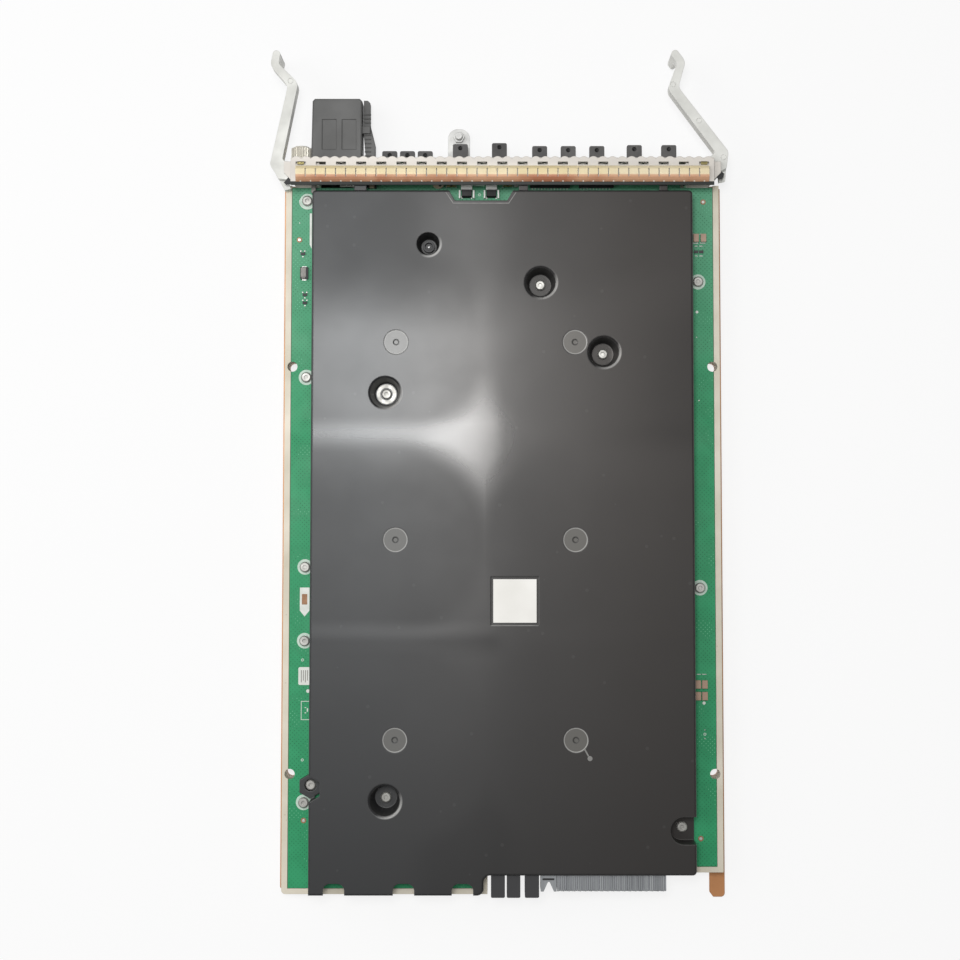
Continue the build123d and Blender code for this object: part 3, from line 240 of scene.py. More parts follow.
# plated tray and frame
platedFrame = {"colour": colour(228, 220, 203), "second": colour(212, 204, 184),
               "wornColour": colour(240, 234, 222), "roughness": (0.5, 0.66), "metallic": 0.1, "broad": 45.0,
               "bump": 0.15, "wear": 0.5, "specks": 0.25, "speckColour": colour(150, 130, 100)}
bronzePlate = {"colour": colour(204, 146, 98), "second": colour(186, 130, 84),
               "wornColour": colour(190, 142, 104), "roughness": (0.42, 0.58), "metallic": 0.35,
               "broad": 35.0, "bump": 0.15, "wear": 0.6}
panelSteel = {"colour": colour(226, 220, 212), "second": colour(208, 203, 196),
              "wornColour": colour(238, 234, 228), "roughness": (0.46, 0.6), "metallic": 0.2, "fine": 1800.0,
              "broad": 50.0, "stretch": (0.15, 1.0, 1.0), "bump": 0.12, "wear": 0.5}
leverCasting = {"colour": colour(222, 222, 217), "second": colour(208, 208, 203),
                "wornColour": colour(236, 236, 232), "roughness": (0.48, 0.62), "metallic": 0.2,
                "fine": 1400.0, "broad": 120.0, "bump": 0.35, "wear": 0.5}
knobPlating = {"colour": colour(238, 234, 222), "second": colour(214, 208, 192),
               "wornColour": colour(242, 238, 228), "roughness": (0.34, 0.48), "metallic": 0.3,
               "broad": 200.0, "bump": 0.1, "wear": 0.6}
lugTin = {"colour": colour(212, 212, 209), "second": colour(196, 196, 194),
          "wornColour": colour(176, 176, 174), "roughness": (0.42, 0.56), "metallic": 0.25, "broad": 200.0,
          "bump": 0.12, "wear": 0.7, "edgeRadius": 0.25}
brightSteel = {"colour": colour(190, 190, 189), "second": colour(168, 169, 169),
               "wornColour": colour(245, 245, 245), "roughness": (0.36, 0.5), "metallic": 0.5, "broad": 300.0,
               "bump": 0.08, "edgeRadius": 0.2}
screwSteel = {"colour": colour(184, 183, 178), "second": colour(160, 159, 154),
              "wornColour": colour(224, 223, 218), "roughness": (0.36, 0.5), "metallic": 0.5, "broad": 300.0,
              "bump": 0.1, "wear": 0.5, "edgeRadius": 0.2}
blackPlastic = {"colour": colour(52, 52, 54), "second": colour(44, 44, 46), "wornColour": colour(96, 96, 98),
                "roughness": (0.42, 0.56), "fine": 3000.0, "bump": 0.25, "wear": 0.35}
capRubber = {"colour": colour(84, 83, 82), "second": colour(72, 71, 71), "wornColour": colour(116, 115, 114),
             "roughness": (0.5, 0.68), "fine": 2600.0, "bump": 0.3, "wear": 0.3}
greyPlastic = {"colour": colour(150, 152, 156), "second": colour(122, 124, 128),
               "wornColour": colour(186, 188, 190), "roughness": (0.4, 0.55), "fine": 3000.0, "bump": 0.2,
               "wear": 0.5, "edgeRadius": 0.15}
plugPlastic = {"colour": colour(94, 94, 93), "second": colour(86, 86, 85), "wornColour": colour(62, 62, 61),
               "roughness": (0.46, 0.6), "fine": 3000.0, "bump": 0.25, "wear": 0.35, "edgeRadius": 0.5}
whitePlastic = {"colour": colour(250, 250, 247), "second": colour(240, 240, 236),
                "wornColour": colour(240, 240, 238), "roughness": (0.35, 0.5), "bump": 0.1,
                "edgeRadius": 0.15}
chipBody = {"colour": colour(40, 40, 42), "second": colour(30, 30, 32), "wornColour": colour(80, 80, 80),
            "roughness": (0.45, 0.6), "bump": 0.2, "edgeRadius": 0.1}
ceramic = {"colour": colour(184, 154, 132), "second": colour(166, 136, 114),
           "wornColour": colour(210, 188, 166), "roughness": (0.35, 0.5), "bump": 0.15, "edgeRadius": 0.1}
palePlate = {"colour": colour(246, 244, 239), "second": colour(238, 236, 230),
             "wornColour": colour(200, 200, 198), "roughness": (0.42, 0.55), "bump": 0.08, "edgeRadius": 0.15}
canAluminium = {"colour": colour(196, 198, 200), "second": colour(178, 180, 182),
                "wornColour": colour(226, 228, 230), "roughness": (0.3, 0.42), "metallic": 0.8,
                "stretch": (1.0, 0.1, 1.0), "bump": 0.12}
brassContact = {"colour": colour(212, 180, 110), "second": colour(196, 160, 92),
                "wornColour": colour(236, 212, 150), "roughness": (0.2, 0.32), "metallic": 0.9, "bump": 0.05}

finishes = {
    "platedFrame": (platedFrame, ["side_frame"]),
    "bronzePlate": (bronzePlate, ["bottom_plate"]),
    "panelSteel": (panelSteel, ["left_bracket", "right_bracket", "wide_cage_1", "wide_cage_2",
                                "ganged_cage", "single_cage_1", "single_cage_2"]),
    "leverCasting": (leverCasting, ["left_lever", "right_lever"]),
    "knobPlating": (knobPlating, ["thumbscrew"]),
    "lugTin": (lugTin, ["ground_lug", "ground_stud", "ground_nut"]),
    "brightSteel": (brightSteel, ["left_pivot_pin", "right_pivot_pin"]),
    "screwSteel": (screwSteel, ["plate_screws", "board_screws", "board_standoffs", "thumbscrew_bushing",
                                "baffle_screws", "baffle_ring"]),
    "plugPlastic": (plugPlastic, ["power_plug", "plug_latch"]),
    "blackPlastic": (blackPlastic, ["power_inlet", "baffle_pin", "sync_jacks", "power_modules",
                                    "rear_block_1", "rear_block_2", "rear_block_3"]),
    "capRubber": (capRubber, [f"dust_cap_{number}" for number in range(1, 11)]),
    "greyPlastic": (greyPlastic, ["backplane_wafers", "backplane_housing"]),
    "whitePlastic": (whitePlastic, ["lamp_holders"]),
    "chipBody": (chipBody, ["processors", "memory_chips", "small_chip", "chip_resistors"]),
    "ceramic": (ceramic, ["chip_capacitors"]),
    "palePlate": (palePlate, ["label_plate"]),
    "canAluminium": (canAluminium, ["bulk_capacitors", "heat_sink_1", "heat_sink_2", "heat_sink_3"]),
    "brassContact": (brassContact, ["inlet_contacts"]),
}
materials = {}
for finishName, (look, painted) in finishes.items():
    materials[finishName] = plainFinish(finishName, look)
    for nodeName in painted:
        paint(nodeName, materials[finishName])
print("plain finishes done")


# circuit board: solder mask over a slanted grid of vias, with darker tracks
boardLook = {"mask": colour(48, 158, 106), "deep": colour(40, 146, 96), "via": colour(10, 92, 58),
             "paleVia": colour(110, 196, 152), "front": colour(104, 172, 138), "frontFrom": 60.0,
             "frontTo": 170.0, "frontShare": 0.75, "pitch": 1.5, "dot": 0.27, "dotCore": 0.6,
             "dotHeight": 0.6, "weave": 90.0, "weaveSpan": (0.35, 0.65), "patchSpan": (0.36, 0.5, 0.5, 1.0),
             "paleSpan": (0.56, 0.62), "roughness": (0.42, 0.55), "specular": 0.3, "bump": 0.12,
             "edgeRadius": 0.2, "wornColour": colour(150, 170, 110), "wear": 0.3}


def makeBoardMaterial(look):
    material, tree, shader = startMaterial("solderMask")
    x, y = objectPlace(tree)[:2]
    pitch = look["pitch"] * mm
    offsets = []
    for operation in ("ADD", "SUBTRACT"):
        slanted = mathNode(tree, "MULTIPLY", mathNode(tree, operation, x, y), math.sqrt(0.5))
        cell = mathNode(tree, "WRAP", slanted, pitch / 2, -pitch / 2)
        offsets.append(mathNode(tree, "MULTIPLY", cell, cell))
    distance = mathNode(tree, "SQRT", mathNode(tree, "ADD", *offsets))
    dots = ramp(tree, distance, look["dot"] * mm, look["dot"] * look["dotCore"] * mm)
    noise = placeGroup(tree, surfaceGrain, Broad=look["weave"])
    weave = ramp(tree, noise.outputs["Mottle"], *look["weaveSpan"])
    ground = blendColours(tree, weave, look["mask"], look["deep"])
    forward = ramp(tree, y, look["frontFrom"] * mm, look["frontTo"] * mm, 0.0, look["frontShare"])
    ground = blendColours(tree, forward, ground, look["front"])
    patchy = ramp(tree, noise.outputs["Mottle"], *look["patchSpan"])
    pale = ramp(tree, noise.outputs["Mottle"], *look["paleSpan"])
    viaColour = blendColours(tree, pale, look["via"], look["paleVia"])
    dotted = blendColours(tree, mathNode(tree, "MULTIPLY", dots, patchy), ground, viaColour)
    raised = mathNode(tree, "MULTIPLY", dots, look["dotHeight"])
    finishSurface(tree, shader, look, baseColour=dotted, extraHeight=raised)
    return material


materials["solderMask"] = makeBoardMaterial(boardLook)
paint("circuit_board", materials["solderMask"])

# faceplate: the panel's steel, with painted shade: a dark strip along the flange behind the gasket
flangeShadeLook = {"strip": colour(30, 34, 31), "stripY": 170.9, "stripZ": 26.0, "blur": 0.12, "wear": 0.1}


def makeFaceplateMaterial(look, steel):
    material, tree, shader = startMaterial("facePanel")
    y, z = objectPlace(tree)[1:]
    grain = placeGroup(tree, surfaceGrain, Fine=steel["fine"], Broad=steel["broad"], Stretch=steel["stretch"])
    spread = ramp(tree, grain.outputs["Mottle"], *mottleSpan)
    ground = blendColours(tree, spread, steel["colour"], steel["second"])
    # painted shade on the flange's rear edge, behind the gasket and high on the flange
    behind = ramp(tree, y, (look["stripY"] + look["blur"]) * mm, (look["stripY"] - look["blur"]) * mm)
    above = ramp(tree, z, (look["stripZ"] - look["blur"]) * mm, look["stripZ"] * mm)
    ground = blendColours(tree, mathNode(tree, "MULTIPLY", behind, above), ground, look["strip"])
    finishSurface(tree, shader, {**steel, "wear": look["wear"]}, baseColour=ground)
    return material


materials["facePanel"] = makeFaceplateMaterial(flangeShadeLook, panelSteel)
paint("faceplate", materials["facePanel"])

# air baffle: satin black, in six zones round the gate marks, glossier along the folds between them
baffleLook = {"colour": colour(33, 33, 34), "second": colour(28, 28, 29), "wornColour": colour(116, 116, 115),
              "roughness": (0.31, 0.36), "specular": 0.62, "fine": 2200.0, "broad": 18.0, "bump": 1.0,
              "bumpDistance": 1.0, "grainShare": 0.012, "wear": 0.5, "edgeRadius": 0.7, "specks": 0.07,
              "speckSpacing": 140.0, "speckColour": colour(120, 120, 120), "coolTint": (0.98, 1.0, 1.01, 1.0),
              "warmTint": (1.0, 0.93, 0.87, 1.0), "coolX": -70.0, "warmX": 70.0}
# gate marks in two columns and three rows: a pale disc with a lighter rim and a dark dimple
gateLook = {"middleX": -8.35, "halfX": 44.15, "middleY": -6.3, "pitchY": 97.3, "rows": 1.0, "radius": 5.8,
            "blur": 0.2, "colour": colour(104, 103, 99), "share": 0.75, "rimWidth": 0.35,
            "rimColour": colour(200, 199, 196), "rimShare": 0.7, "dimpleRadius": 1.35, "dimpleWidth": 0.5,
            "dimpleShare": 0.9}
# folds: where they run, how far their gloss reaches and where it fades
foldLook = {"x": -7.0, "rows": (45.4, -54.5), "width": 10.0, "gloss": 0.6, "rightShare": 0.2,
            "cornerReach": (39.0, 56.0), "cornerX": (46.0, 24.0), "rightFade": (2.0, 22.0),
            "uprightFade": (12.0, 46.0), "frontFade": (50.0, 78.0), "frontShare": 0.12,
            "rearFade": (32.0, -14.0), "rearShare": 0.3, "roughness": 0.21, "height": 0.12, "sag": 0.06,
            "sagBlend": 26.0, "clearY": 72.0, "dullFade": (20.0, 60.0), "dull": 0.12}
# painted highlights: light crescents on the lips of the screw pockets, on the side that faces the light: x, y
# and radius of each
lipShine = {"width": 0.9, "share": 0.6, "from": 0.3, "to": 1.35,
            "pockets": ((-36.8, 139.9, 6.2), (18.9, 120.8, 8.0), (50.1, 86.2, 8.0), (-57.8, 66.2, 8.0),
                        (-57.3, -133.0, 8.0))}


def inMetres(values):
    return [value * mm for value in values]


def softRamp(tree, value, low, high, outLow=0.0, outHigh=1.0):
    # level at both ends, so no line shows where it starts
    result = ramp(tree, value, low, high, outLow, outHigh)
    result.node.interpolation_type = "SMOOTHSTEP"
    return result


def joinMasks(tree, first, second):
    # smooth union of two masks
    product = mathNode(tree, "MULTIPLY", first, second)
    return mathNode(tree, "SUBTRACT", mathNode(tree, "ADD", first, second), product)


def ringMask(tree, distance, radius, width):
    # one on a circle of that radius, fading out over the width
    off = mathNode(tree, "ABSOLUTE", mathNode(tree, "SUBTRACT", distance, radius))
    return ramp(tree, off, width, width * 0.35)


def distanceFrom(tree, first, second):
    squares = [mathNode(tree, "MULTIPLY", value, value) for value in (first, second)]
    return mathNode(tree, "SQRT", mathNode(tree, "ADD", *squares))


def reachFromGate(tree, x, y):
    # distance to the nearest gate mark
    gate = gateLook
    across = mathNode(tree, "ABSOLUTE", mathNode(tree, "SUBTRACT", x, gate["middleX"] * mm))
    across = mathNode(tree, "SUBTRACT", across, gate["halfX"] * mm)
    along = mathNode(tree, "SUBTRACT", y, gate["middleY"] * mm)
    row = mathNode(tree, "ROUND", mathNode(tree, "DIVIDE", along, gate["pitchY"] * mm))
    row = mathNode(tree, "MAXIMUM", mathNode(tree, "MINIMUM", row, gate["rows"]), -gate["rows"])
    along = mathNode(tree, "SUBTRACT", along, mathNode(tree, "MULTIPLY", row, gate["pitchY"] * mm))
    return distanceFrom(tree, across, along)


def foldMasks(tree, x, y, reach):
    # gloss along the folds and where four zones meet, and the height that goes with it
    fold = foldLook
    width = fold["width"] * mm
    fromFold = mathNode(tree, "SUBTRACT", x, fold["x"] * mm)
    besideFold = mathNode(tree, "ABSOLUTE", fromFold)
    upright = softRamp(tree, besideFold, width, 0.0)
    upright = mathNode(tree, "MULTIPLY", upright, softRamp(tree, y, *inMetres(fold["uprightFade"])))
    toRows = [mathNode(tree, "ABSOLUTE", mathNode(tree, "SUBTRACT", y, place * mm)) for place in fold["rows"]]
    level = softRamp(tree, mathNode(tree, "MINIMUM", *toRows), width, 0.0)
    level = mathNode(tree, "MULTIPLY", level, softRamp(tree, fromFold, 0.0, width, 1.0, fold["rightShare"]))
    strips = mathNode(tree, "MULTIPLY", joinMasks(tree, upright, level), fold["gloss"])
    corner = softRamp(tree, reach, *inMetres(fold["cornerReach"]))
    for mask in (softRamp(tree, besideFold, *inMetres(fold["cornerX"])),
                 softRamp(tree, fromFold, *inMetres(fold["rightFade"]), 1.0, fold["rightShare"]),
                 ramp(tree, y, *inMetres(fold["rearFade"]), 1.0, fold["rearShare"])):
        corner = mathNode(tree, "MULTIPLY", corner, mask)
    toFront = ramp(tree, y, *inMetres(fold["frontFade"]), 1.0, fold["frontShare"])
    glossy = mathNode(tree, "MULTIPLY", joinMasks(tree, corner, strips), toFront)
    sag = mathNode(tree, "SMOOTH_MAX", fromFold, 0.0, fold["sagBlend"] * mm)
    sag = mathNode(tree, "MULTIPLY", sag, -fold["sag"] / mm)
    height = mathNode(tree, "ADD", mathNode(tree, "MULTIPLY", glossy, fold["height"]), sag)
    return glossy, height


def gateColours(tree, reach, base, dark):
    gate = gateLook
    radius = gate["radius"] * mm
    disc = ramp(tree, reach, radius, radius - gate["blur"] * mm, 0.0, gate["share"])
    base = blendColours(tree, disc, base, gate["colour"])
    rim = ringMask(tree, reach, radius, gate["rimWidth"] * mm)
    base = blendColours(tree, mathNode(tree, "MULTIPLY", rim, gate["rimShare"]), base, gate["rimColour"])
    dimple = ringMask(tree, reach, gate["dimpleRadius"] * mm, gate["dimpleWidth"] * mm)
    return blendColours(tree, mathNode(tree, "MULTIPLY", dimple, gate["dimpleShare"]), base, dark)


def lipHighlights(tree, x, y, base):
    # painted highlight: a pale crescent on each pocket's lip, on the side that faces the light
    for pocketX, pocketY, radius in lipShine["pockets"]:
        overX = mathNode(tree, "SUBTRACT", x, pocketX * mm)
        overY = mathNode(tree, "SUBTRACT", y, pocketY * mm)
        lip = ringMask(tree, distanceFrom(tree, overX, overY), radius * mm, lipShine["width"] * mm)
        slant = mathNode(tree, "SUBTRACT", overX, overY)
        span = [lipShine[key] * radius * mm for key in ("from", "to")]
        facing = ramp(tree, slant, *span, 0.0, lipShine["share"])
        base = blendColours(tree, mathNode(tree, "MULTIPLY", lip, facing), base, gateLook["rimColour"])
    return base


def makeBaffleMaterial(look):
    material, tree, shader = startMaterial("satinBaffle")
    x, y = objectPlace(tree)[:2]
    reach = reachFromGate(tree, x, y)
    glossy, height = foldMasks(tree, x, y, reach)
    grain = placeGroup(tree, surfaceGrain, Broad=look["broad"])
    spread = ramp(tree, grain.outputs["Mottle"], *mottleSpan)
    base = blendColours(tree, spread, look["colour"], look["second"])
    base = gateColours(tree, reach, base, look["second"])
    base = lipHighlights(tree, x, y, base)
    finishSurface(tree, shader, look, baseColour=base, extraHeight=height)
    satin = ramp(tree, grain.outputs["Mottle"], *mottleSpan, *look["roughness"])
    fromClear = mathNode(tree, "ABSOLUTE", mathNode(tree, "SUBTRACT", y, foldLook["clearY"] * mm))
    duller = softRamp(tree, fromClear, *inMetres(foldLook["dullFade"]), 0.0, foldLook["dull"])
    smooth = addNode(tree, "ShaderNodeMix", data_type="FLOAT")
    tree.links.new(glossy, smooth.inputs[0])
    tree.links.new(mathNode(tree, "ADD", satin, duller), smooth.inputs[2])
    smooth.inputs[3].default_value = foldLook["roughness"]
    tree.links.new(smooth.outputs[0], shader.inputs["Roughness"])
    sideways = ramp(tree, x, look["coolX"] * mm, look["warmX"] * mm)
    tint = blendColours(tree, sideways, look["coolTint"], look["warmTint"])
    tree.links.new(tint, shader.inputs["Specular Tint"])
    return material


materials["satinBaffle"] = makeBaffleMaterial(baffleLook)
paint("air_baffle", materials["satinBaffle"])

# finger gasket: cream crown with a yellow tinge, copper behind it with reddish patches that come and go; the
# split into a pale crown and a darker copper rear is painted reflection, lighter where the metal faces up and
# darker where it slopes away
gasketLook = {"pale": colour(226, 212, 178), "yellow": colour(216, 194, 134),
              "giltSpan": (0.44, 0.6, 0.0, 0.5), "copper": colour(198, 152, 118),
              "redPatch": colour(172, 112, 80), "redPatchSpan": (0.5, 0.6), "stain": 22.0,
              "stainStretch": (1.0, 0.25, 0.25), "boundary": 174.1, "blur": 0.35, "pitch": 5.0,
              "dot": colour(252, 246, 232), "glintSpan": (0.42, 0.24), "glintY": (171.3, 171.0), "metallic": 0.15,
              "roughness": (0.42, 0.56), "bump": 0.1, "wornColour": colour(246, 236, 216), "wear": 0.35,
              "edgeRadius": 0.15}


def makeGasketMaterial(look):
    material, tree, shader = startMaterial("gasketMetal")
    x, y = objectPlace(tree)[:2]
    stained = placeGroup(tree, surfaceGrain, Broad=look["stain"], Stretch=look["stainStretch"])
    gilt = ramp(tree, stained.outputs["Mottle"], *look["giltSpan"])
    crown = blendColours(tree, gilt, look["pale"], look["yellow"])
    reddish = ramp(tree, stained.outputs["Mottle"], *look["redPatchSpan"])
    rear = blendColours(tree, reddish, look["copper"], look["redPatch"])
    # painted reflection: pale crown in front of the boundary, darker copper behind it
    onCrown = ramp(tree, y, (look["boundary"] - look["blur"]) * mm, (look["boundary"] + look["blur"]) * mm)
    ground = blendColours(tree, onCrown, rear, crown)
    # painted highlights: bright dots on the rear edge, one between each two fingers, where the slits' ends
    # catch the light
    half = look["pitch"] / 2 * mm
    nearSlit = mathNode(tree, "ABSOLUTE", mathNode(tree, "WRAP", x, half, -half))
    nearSlit = ramp(tree, nearSlit, *inMetres(look["glintSpan"]))
    dots = mathNode(tree, "MULTIPLY", nearSlit, ramp(tree, y, *inMetres(look["glintY"])))
    ground = blendColours(tree, dots, ground, look["dot"])
    finishSurface(tree, shader, look, baseColour=ground)
    return material


materials["gasketMetal"] = makeGasketMaterial(gasketLook)
paint("finger_gasket", materials["gasketMetal"])
print("board, baffle and gasket finishes done")


# small looks that only the added pieces use
trimLooks = {
    "silkWhite": {"colour": colour(236, 238, 232), "second": colour(222, 226, 218), "roughness": (0.5, 0.65),
                  "broad": 400.0, "bump": 0.1, "edgeRadius": 0.05, "wear": 0.2},
    "silkMint": {"colour": colour(204, 222, 208), "second": colour(180, 206, 190), "roughness": (0.4, 0.55),
                 "broad": 400.0, "bump": 0.1, "edgeRadius": 0.05, "wear": 0.3},
    "softGrey": {"colour": colour(150, 145, 140), "second": colour(134, 130, 126), "roughness": (0.45, 0.6),
                 "fine": 3200.0, "broad": 500.0, "edgeRadius": 0.1},
    "copperPad": {"colour": colour(158, 118, 86), "second": colour(140, 102, 72), "roughness": (0.4, 0.55),
                  "metallic": 0.3, "broad": 500.0, "bump": 0.1, "edgeRadius": 0.05, "wear": 0.5},
    "solderTin": {"colour": colour(206, 207, 202), "second": colour(176, 178, 174), "roughness": (0.3, 0.45),
                  "metallic": 0.4, "broad": 500.0, "bump": 0.15, "edgeRadius": 0.1},
    "oliveBrass": {"colour": colour(158, 146, 96), "second": colour(120, 112, 74), "roughness": (0.28, 0.42),
                   "wornColour": colour(214, 204, 160), "metallic": 0.7, "broad": 400.0, "bump": 0.15,
                   "edgeRadius": 0.1, "wear": 0.6},
    "beigePlastic": {"colour": colour(206, 192, 166), "second": colour(188, 174, 148),
                     "roughness": (0.42, 0.56), "broad": 300.0, "edgeRadius": 0.2},
    "deepBlack": {"colour": colour(26, 26, 27), "second": colour(20, 20, 21), "roughness": (0.5, 0.64),
                  "wornColour": colour(70, 70, 70), "fine": 2600.0, "edgeRadius": 0.2, "wear": 0.35},
    "waferGrey": {"colour": colour(158, 161, 163), "second": colour(128, 131, 134), "roughness": (0.42, 0.58),
                  "wornColour": colour(186, 188, 190), "fine": 3000.0, "broad": 260.0,
                  "stretch": (1.0, 0.05, 0.05), "edgeRadius": 0.1, "wear": 0.5},
    "paleLine": {"colour": colour(140, 139, 136), "second": colour(120, 119, 117), "roughness": (0.4, 0.55),
                 "broad": 300.0, "bump": 0.15, "edgeRadius": 0.1},
}
for finishName, look in trimLooks.items():
    materials[finishName] = plainFinish(finishName, look)


# mesh helpers, in millimetres
def circlePoints(centre, radius, count=24, start=0.0, turn=360.0):
    # points on an arc; a full circle leaves out the last point
    full = turn >= 360.0
    steps = count if full else count - 1
    angles = [math.radians(start + turn * index / steps) for index in range(count)]
    return [(centre[0] + radius * math.cos(angle), centre[1] + radius * math.sin(angle)) for angle in angles]


def rectanglePoints(left, right, near, far, corner=0.0):
    if corner <= 0:
        return [(left, near), (right, near), (right, far), (left, far)]
    points = []
    for centre, start in (((right - corner, near + corner), -90), ((right - corner, far - corner), 0),
                          ((left + corner, far - corner), 90), ((left + corner, near + corner), 180)):
        points += circlePoints(centre, corner, 5, start, 90.0)
    return points


def setMaterial(faces, index):
    for face in faces:
        face.material_index = index


def addPrism(shape, outline, low, high, material=0, axis=2):
    # outline pulled along x, y or z
    def place(point, level):
        first, second = point
        return {0: (level, first, second), 1: (first, level, second), 2: (first, second, level)}[axis]
    rings = [[shape.verts.new([value * mm for value in place(point, level)]) for point in outline]
             for level in (low, high)]
    faces = [shape.faces.new(rings[0]), shape.faces.new(rings[1])]
    count = len(outline)
    for index in range(count):
        after = (index + 1) % count
        faces.append(shape.faces.new((rings[0][index], rings[0][after], rings[1][after], rings[1][index])))
    setMaterial(faces, material)
    return faces


def addTurned(shape, centre, profile, material=0, count=28, closed=False):
    # (radius, height) pairs turned about an upright axis; closed joins the last pair to the first
    rings = []
    for radius, height in profile:
        points = circlePoints(centre, radius, count) if radius > 0 else [centre]
        rings.append([shape.verts.new((x * mm, y * mm, height * mm)) for x, y in points])
    pairs = list(zip(rings, rings[1:])) + ([(rings[-1], rings[0])] if closed else [])
    faces = []
    for inner, outer in pairs:
        for index in range(count):
            after = (index + 1) % count
            corners = [inner[index % len(inner)], inner[after % len(inner)], outer[after % len(outer)],
                       outer[index % len(outer)]]
            unique = [vertex for position, vertex in enumerate(corners) if vertex not in corners[:position]]
            if len(unique) > 2:
                faces.append(shape.faces.new(unique))
    setMaterial(faces, material)
    return faces


bandChamfer = (0.4, 0.25)  # shares of a ring's height and of its width
discChamfer = (0.5, 0.3)  # shares of a disc's height and of its radius
cornerAngle = 40  # softened corners are sharper than this


def addBand(shape, centre, outer, inner, low, high, material=0, count=28):
    # flat ring with a small chamfer on its top edges
    edge = min((high - low) * bandChamfer[0], (outer - inner) * bandChamfer[1])
    profile = [(inner, low), (outer, low), (outer, high - edge), (outer - edge, high), (inner + edge, high),
               (inner, high - edge)]
    return addTurned(shape, centre, profile, material, count, closed=True)


def addDisc(shape, centre, radius, low, high, material=0, count=20):
    edge = min((high - low) * discChamfer[0], radius * discChamfer[1])
    profile = [(0, low), (radius, low), (radius, high - edge), (radius - edge, high), (0, high)]
    return addTurned(shape, centre, profile, material, count)


def addBox(shape, spans, material=0):
    (left, right), (near, far), (low, high) = spans
    return addPrism(shape, rectanglePoints(left, right, near, far), low, high, material)


def finishPiece(name, shape, finishNames, body, bevel=0.0):
    bmesh.ops.recalc_face_normals(shape, faces=shape.faces)
    mesh = bpy.data.meshes.new(name)
    shape.to_mesh(mesh)
    shape.free()
    for finishName in finishNames:
        mesh.materials.append(materials[finishName])
    piece = bpy.data.objects.new(name, mesh)
    bpy.context.scene.collection.objects.link(piece)
    if bevel:
        soften = piece.modifiers.new("softCorners", "BEVEL")
        soften.width = bevel * mm
        soften.segments = 2
        soften.limit_method = "ANGLE"
        soften.angle_limit = math.radians(cornerAngle)
    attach(piece, body)
    return piece


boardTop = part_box("circuit_board")[1][2] / mm
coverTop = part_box("air_baffle")[1][2] / mm
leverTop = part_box("left_lever")[1][2] / mm

# printed pads round the board's screws, each with a tinned inner ring
padLook = {"thick": 0.06, "ringThick": 0.096, "outer": 3.85, "inner": 2.3, "ring": (2.65, 2.2),
           "screws": [(-98.2, 163.6), (-98.2, 74.6), (-98.2, -20.0), (-98.2, -56.5), (-98.2, -135.8),
                      (98.2, 122.7), (98.2, -30.3)]}


def buildPads(look):
    shape = bmesh.new()
    for place in look["screws"]:
        addBand(shape, place, look["outer"], look["inner"], boardTop, boardTop + look["thick"], 0, 36)
        addBand(shape, place, *look["ring"], boardTop, boardTop + look["ringThick"], 1, 36)
    finishPiece("screwPads", shape, ["silkMint", "solderTin"], "chassis")


buildPads(padLook)

# printed marks: targets, vias, dots, a small frame, lines and the arc beside the front screw
markLook = {"thick": 0.05, "thickLine": 0.15, "dotThick": 0.1, "viaThick": 0.07,
            "fiducials": [(-102.1, 144.0), (-98.2, -144.7), (101.1, 163.2), (97.9, -153.5)], "halo": 1.35,
            "dot": 0.75, "vias": [(-99.2, -66.0), (-99.0, -115.1), (-11.5, 166.9), (100.2, -102.5)],
            "viaOuter": 0.72, "viaInner": 0.36,
            "dots": [(-96.4, -81.3, 0.9), (97.7, 107.5, 0.7), (99.9, -87.2, 0.8)], "line": 0.28,
            "frame": (-99.8, -95.0, -95.5, -86.2),
            "smallBars": [(-98.0, -97.2, -92.2, -91.8), (-98.0, -97.2, -89.6, -89.2),
                          (-96.9, -96.3, -91.4, -89.8)],
            "edgeLine": [(-96.95, 157.4), (-95.9, 157.4), (-95.9, 139.4), (-96.95, 141.6)],
            "collarPlace": (-98.2, 163.6), "collarOuter": 4.15, "collarInner": 3.85,
            "collarArc": (16, 170.0, 150.0)}


def buildMarks(look):
    shape = bmesh.new()
    low, high = boardTop, boardTop + look["thick"]
    for place in look["fiducials"]:
        addBand(shape, place, look["halo"], look["dot"], low, high, 1)
        addDisc(shape, place, look["dot"], low, low + look["dotThick"], 2)
    for place in look["vias"]:
        addBand(shape, place, look["viaOuter"], look["viaInner"], low, low + look["viaThick"], 3)
    for x, y, radius in look["dots"]:
        addDisc(shape, (x, y), radius, low, high)
    left, right, near, far = look["frame"]
    line = look["line"]
    frameBars = [(left, right, near, near + line), (left, right, far - line, far),
                 (left, left + line, near + line, far - line)]
    for spans in frameBars + look["smallBars"]:
        addPrism(shape, rectanglePoints(*spans), low, high)
    addPrism(shape, look["edgeLine"], low, low + look["thickLine"])
    outer = circlePoints(look["collarPlace"], look["collarOuter"], *look["collarArc"])
    inner = circlePoints(look["collarPlace"], look["collarInner"], *look["collarArc"])
    addPrism(shape, outer + inner[::-1], low, low + look["thickLine"])
    finishPiece("boardMarks", shape, ["silkWhite", "copperPad", "solderTin", "silkMint"], "chassis")


buildMarks(markLook)

# stuck labels: one with an arrow end and a copper window, two with blank grey bars
labelLook = {"thick": 0.09, "barThick": 0.02, "windowThick": 0.03, "corner": 0.3,
             "arrow": [(-100.7, -30.2), (-100.7, -41.6), (-98.3, -44.5), (-95.9, -41.6), (-95.9, -30.2)],
             "window": (-99.7, -97.0, -38.6, -33.4), "plate": (-101.2, -95.4, -78.3, -69.5),
             "plateCorner": 0.8, "bars": [-99.9, -98.9, -97.9, -96.9], "barWidth": 0.4,
             "barSpan": (-77.0, -71.0), "barStep": 0.9, "frontLabel": (-81.9, -74.8, 170.9, 173.4),
             "frontBars": [(-81.2, -78.9), (-78.2, -76.9), (-76.3, -75.4)],
             "frontRows": [(171.5, 0.0), (172.4, 0.3)], "frontBarHeight": 0.3}


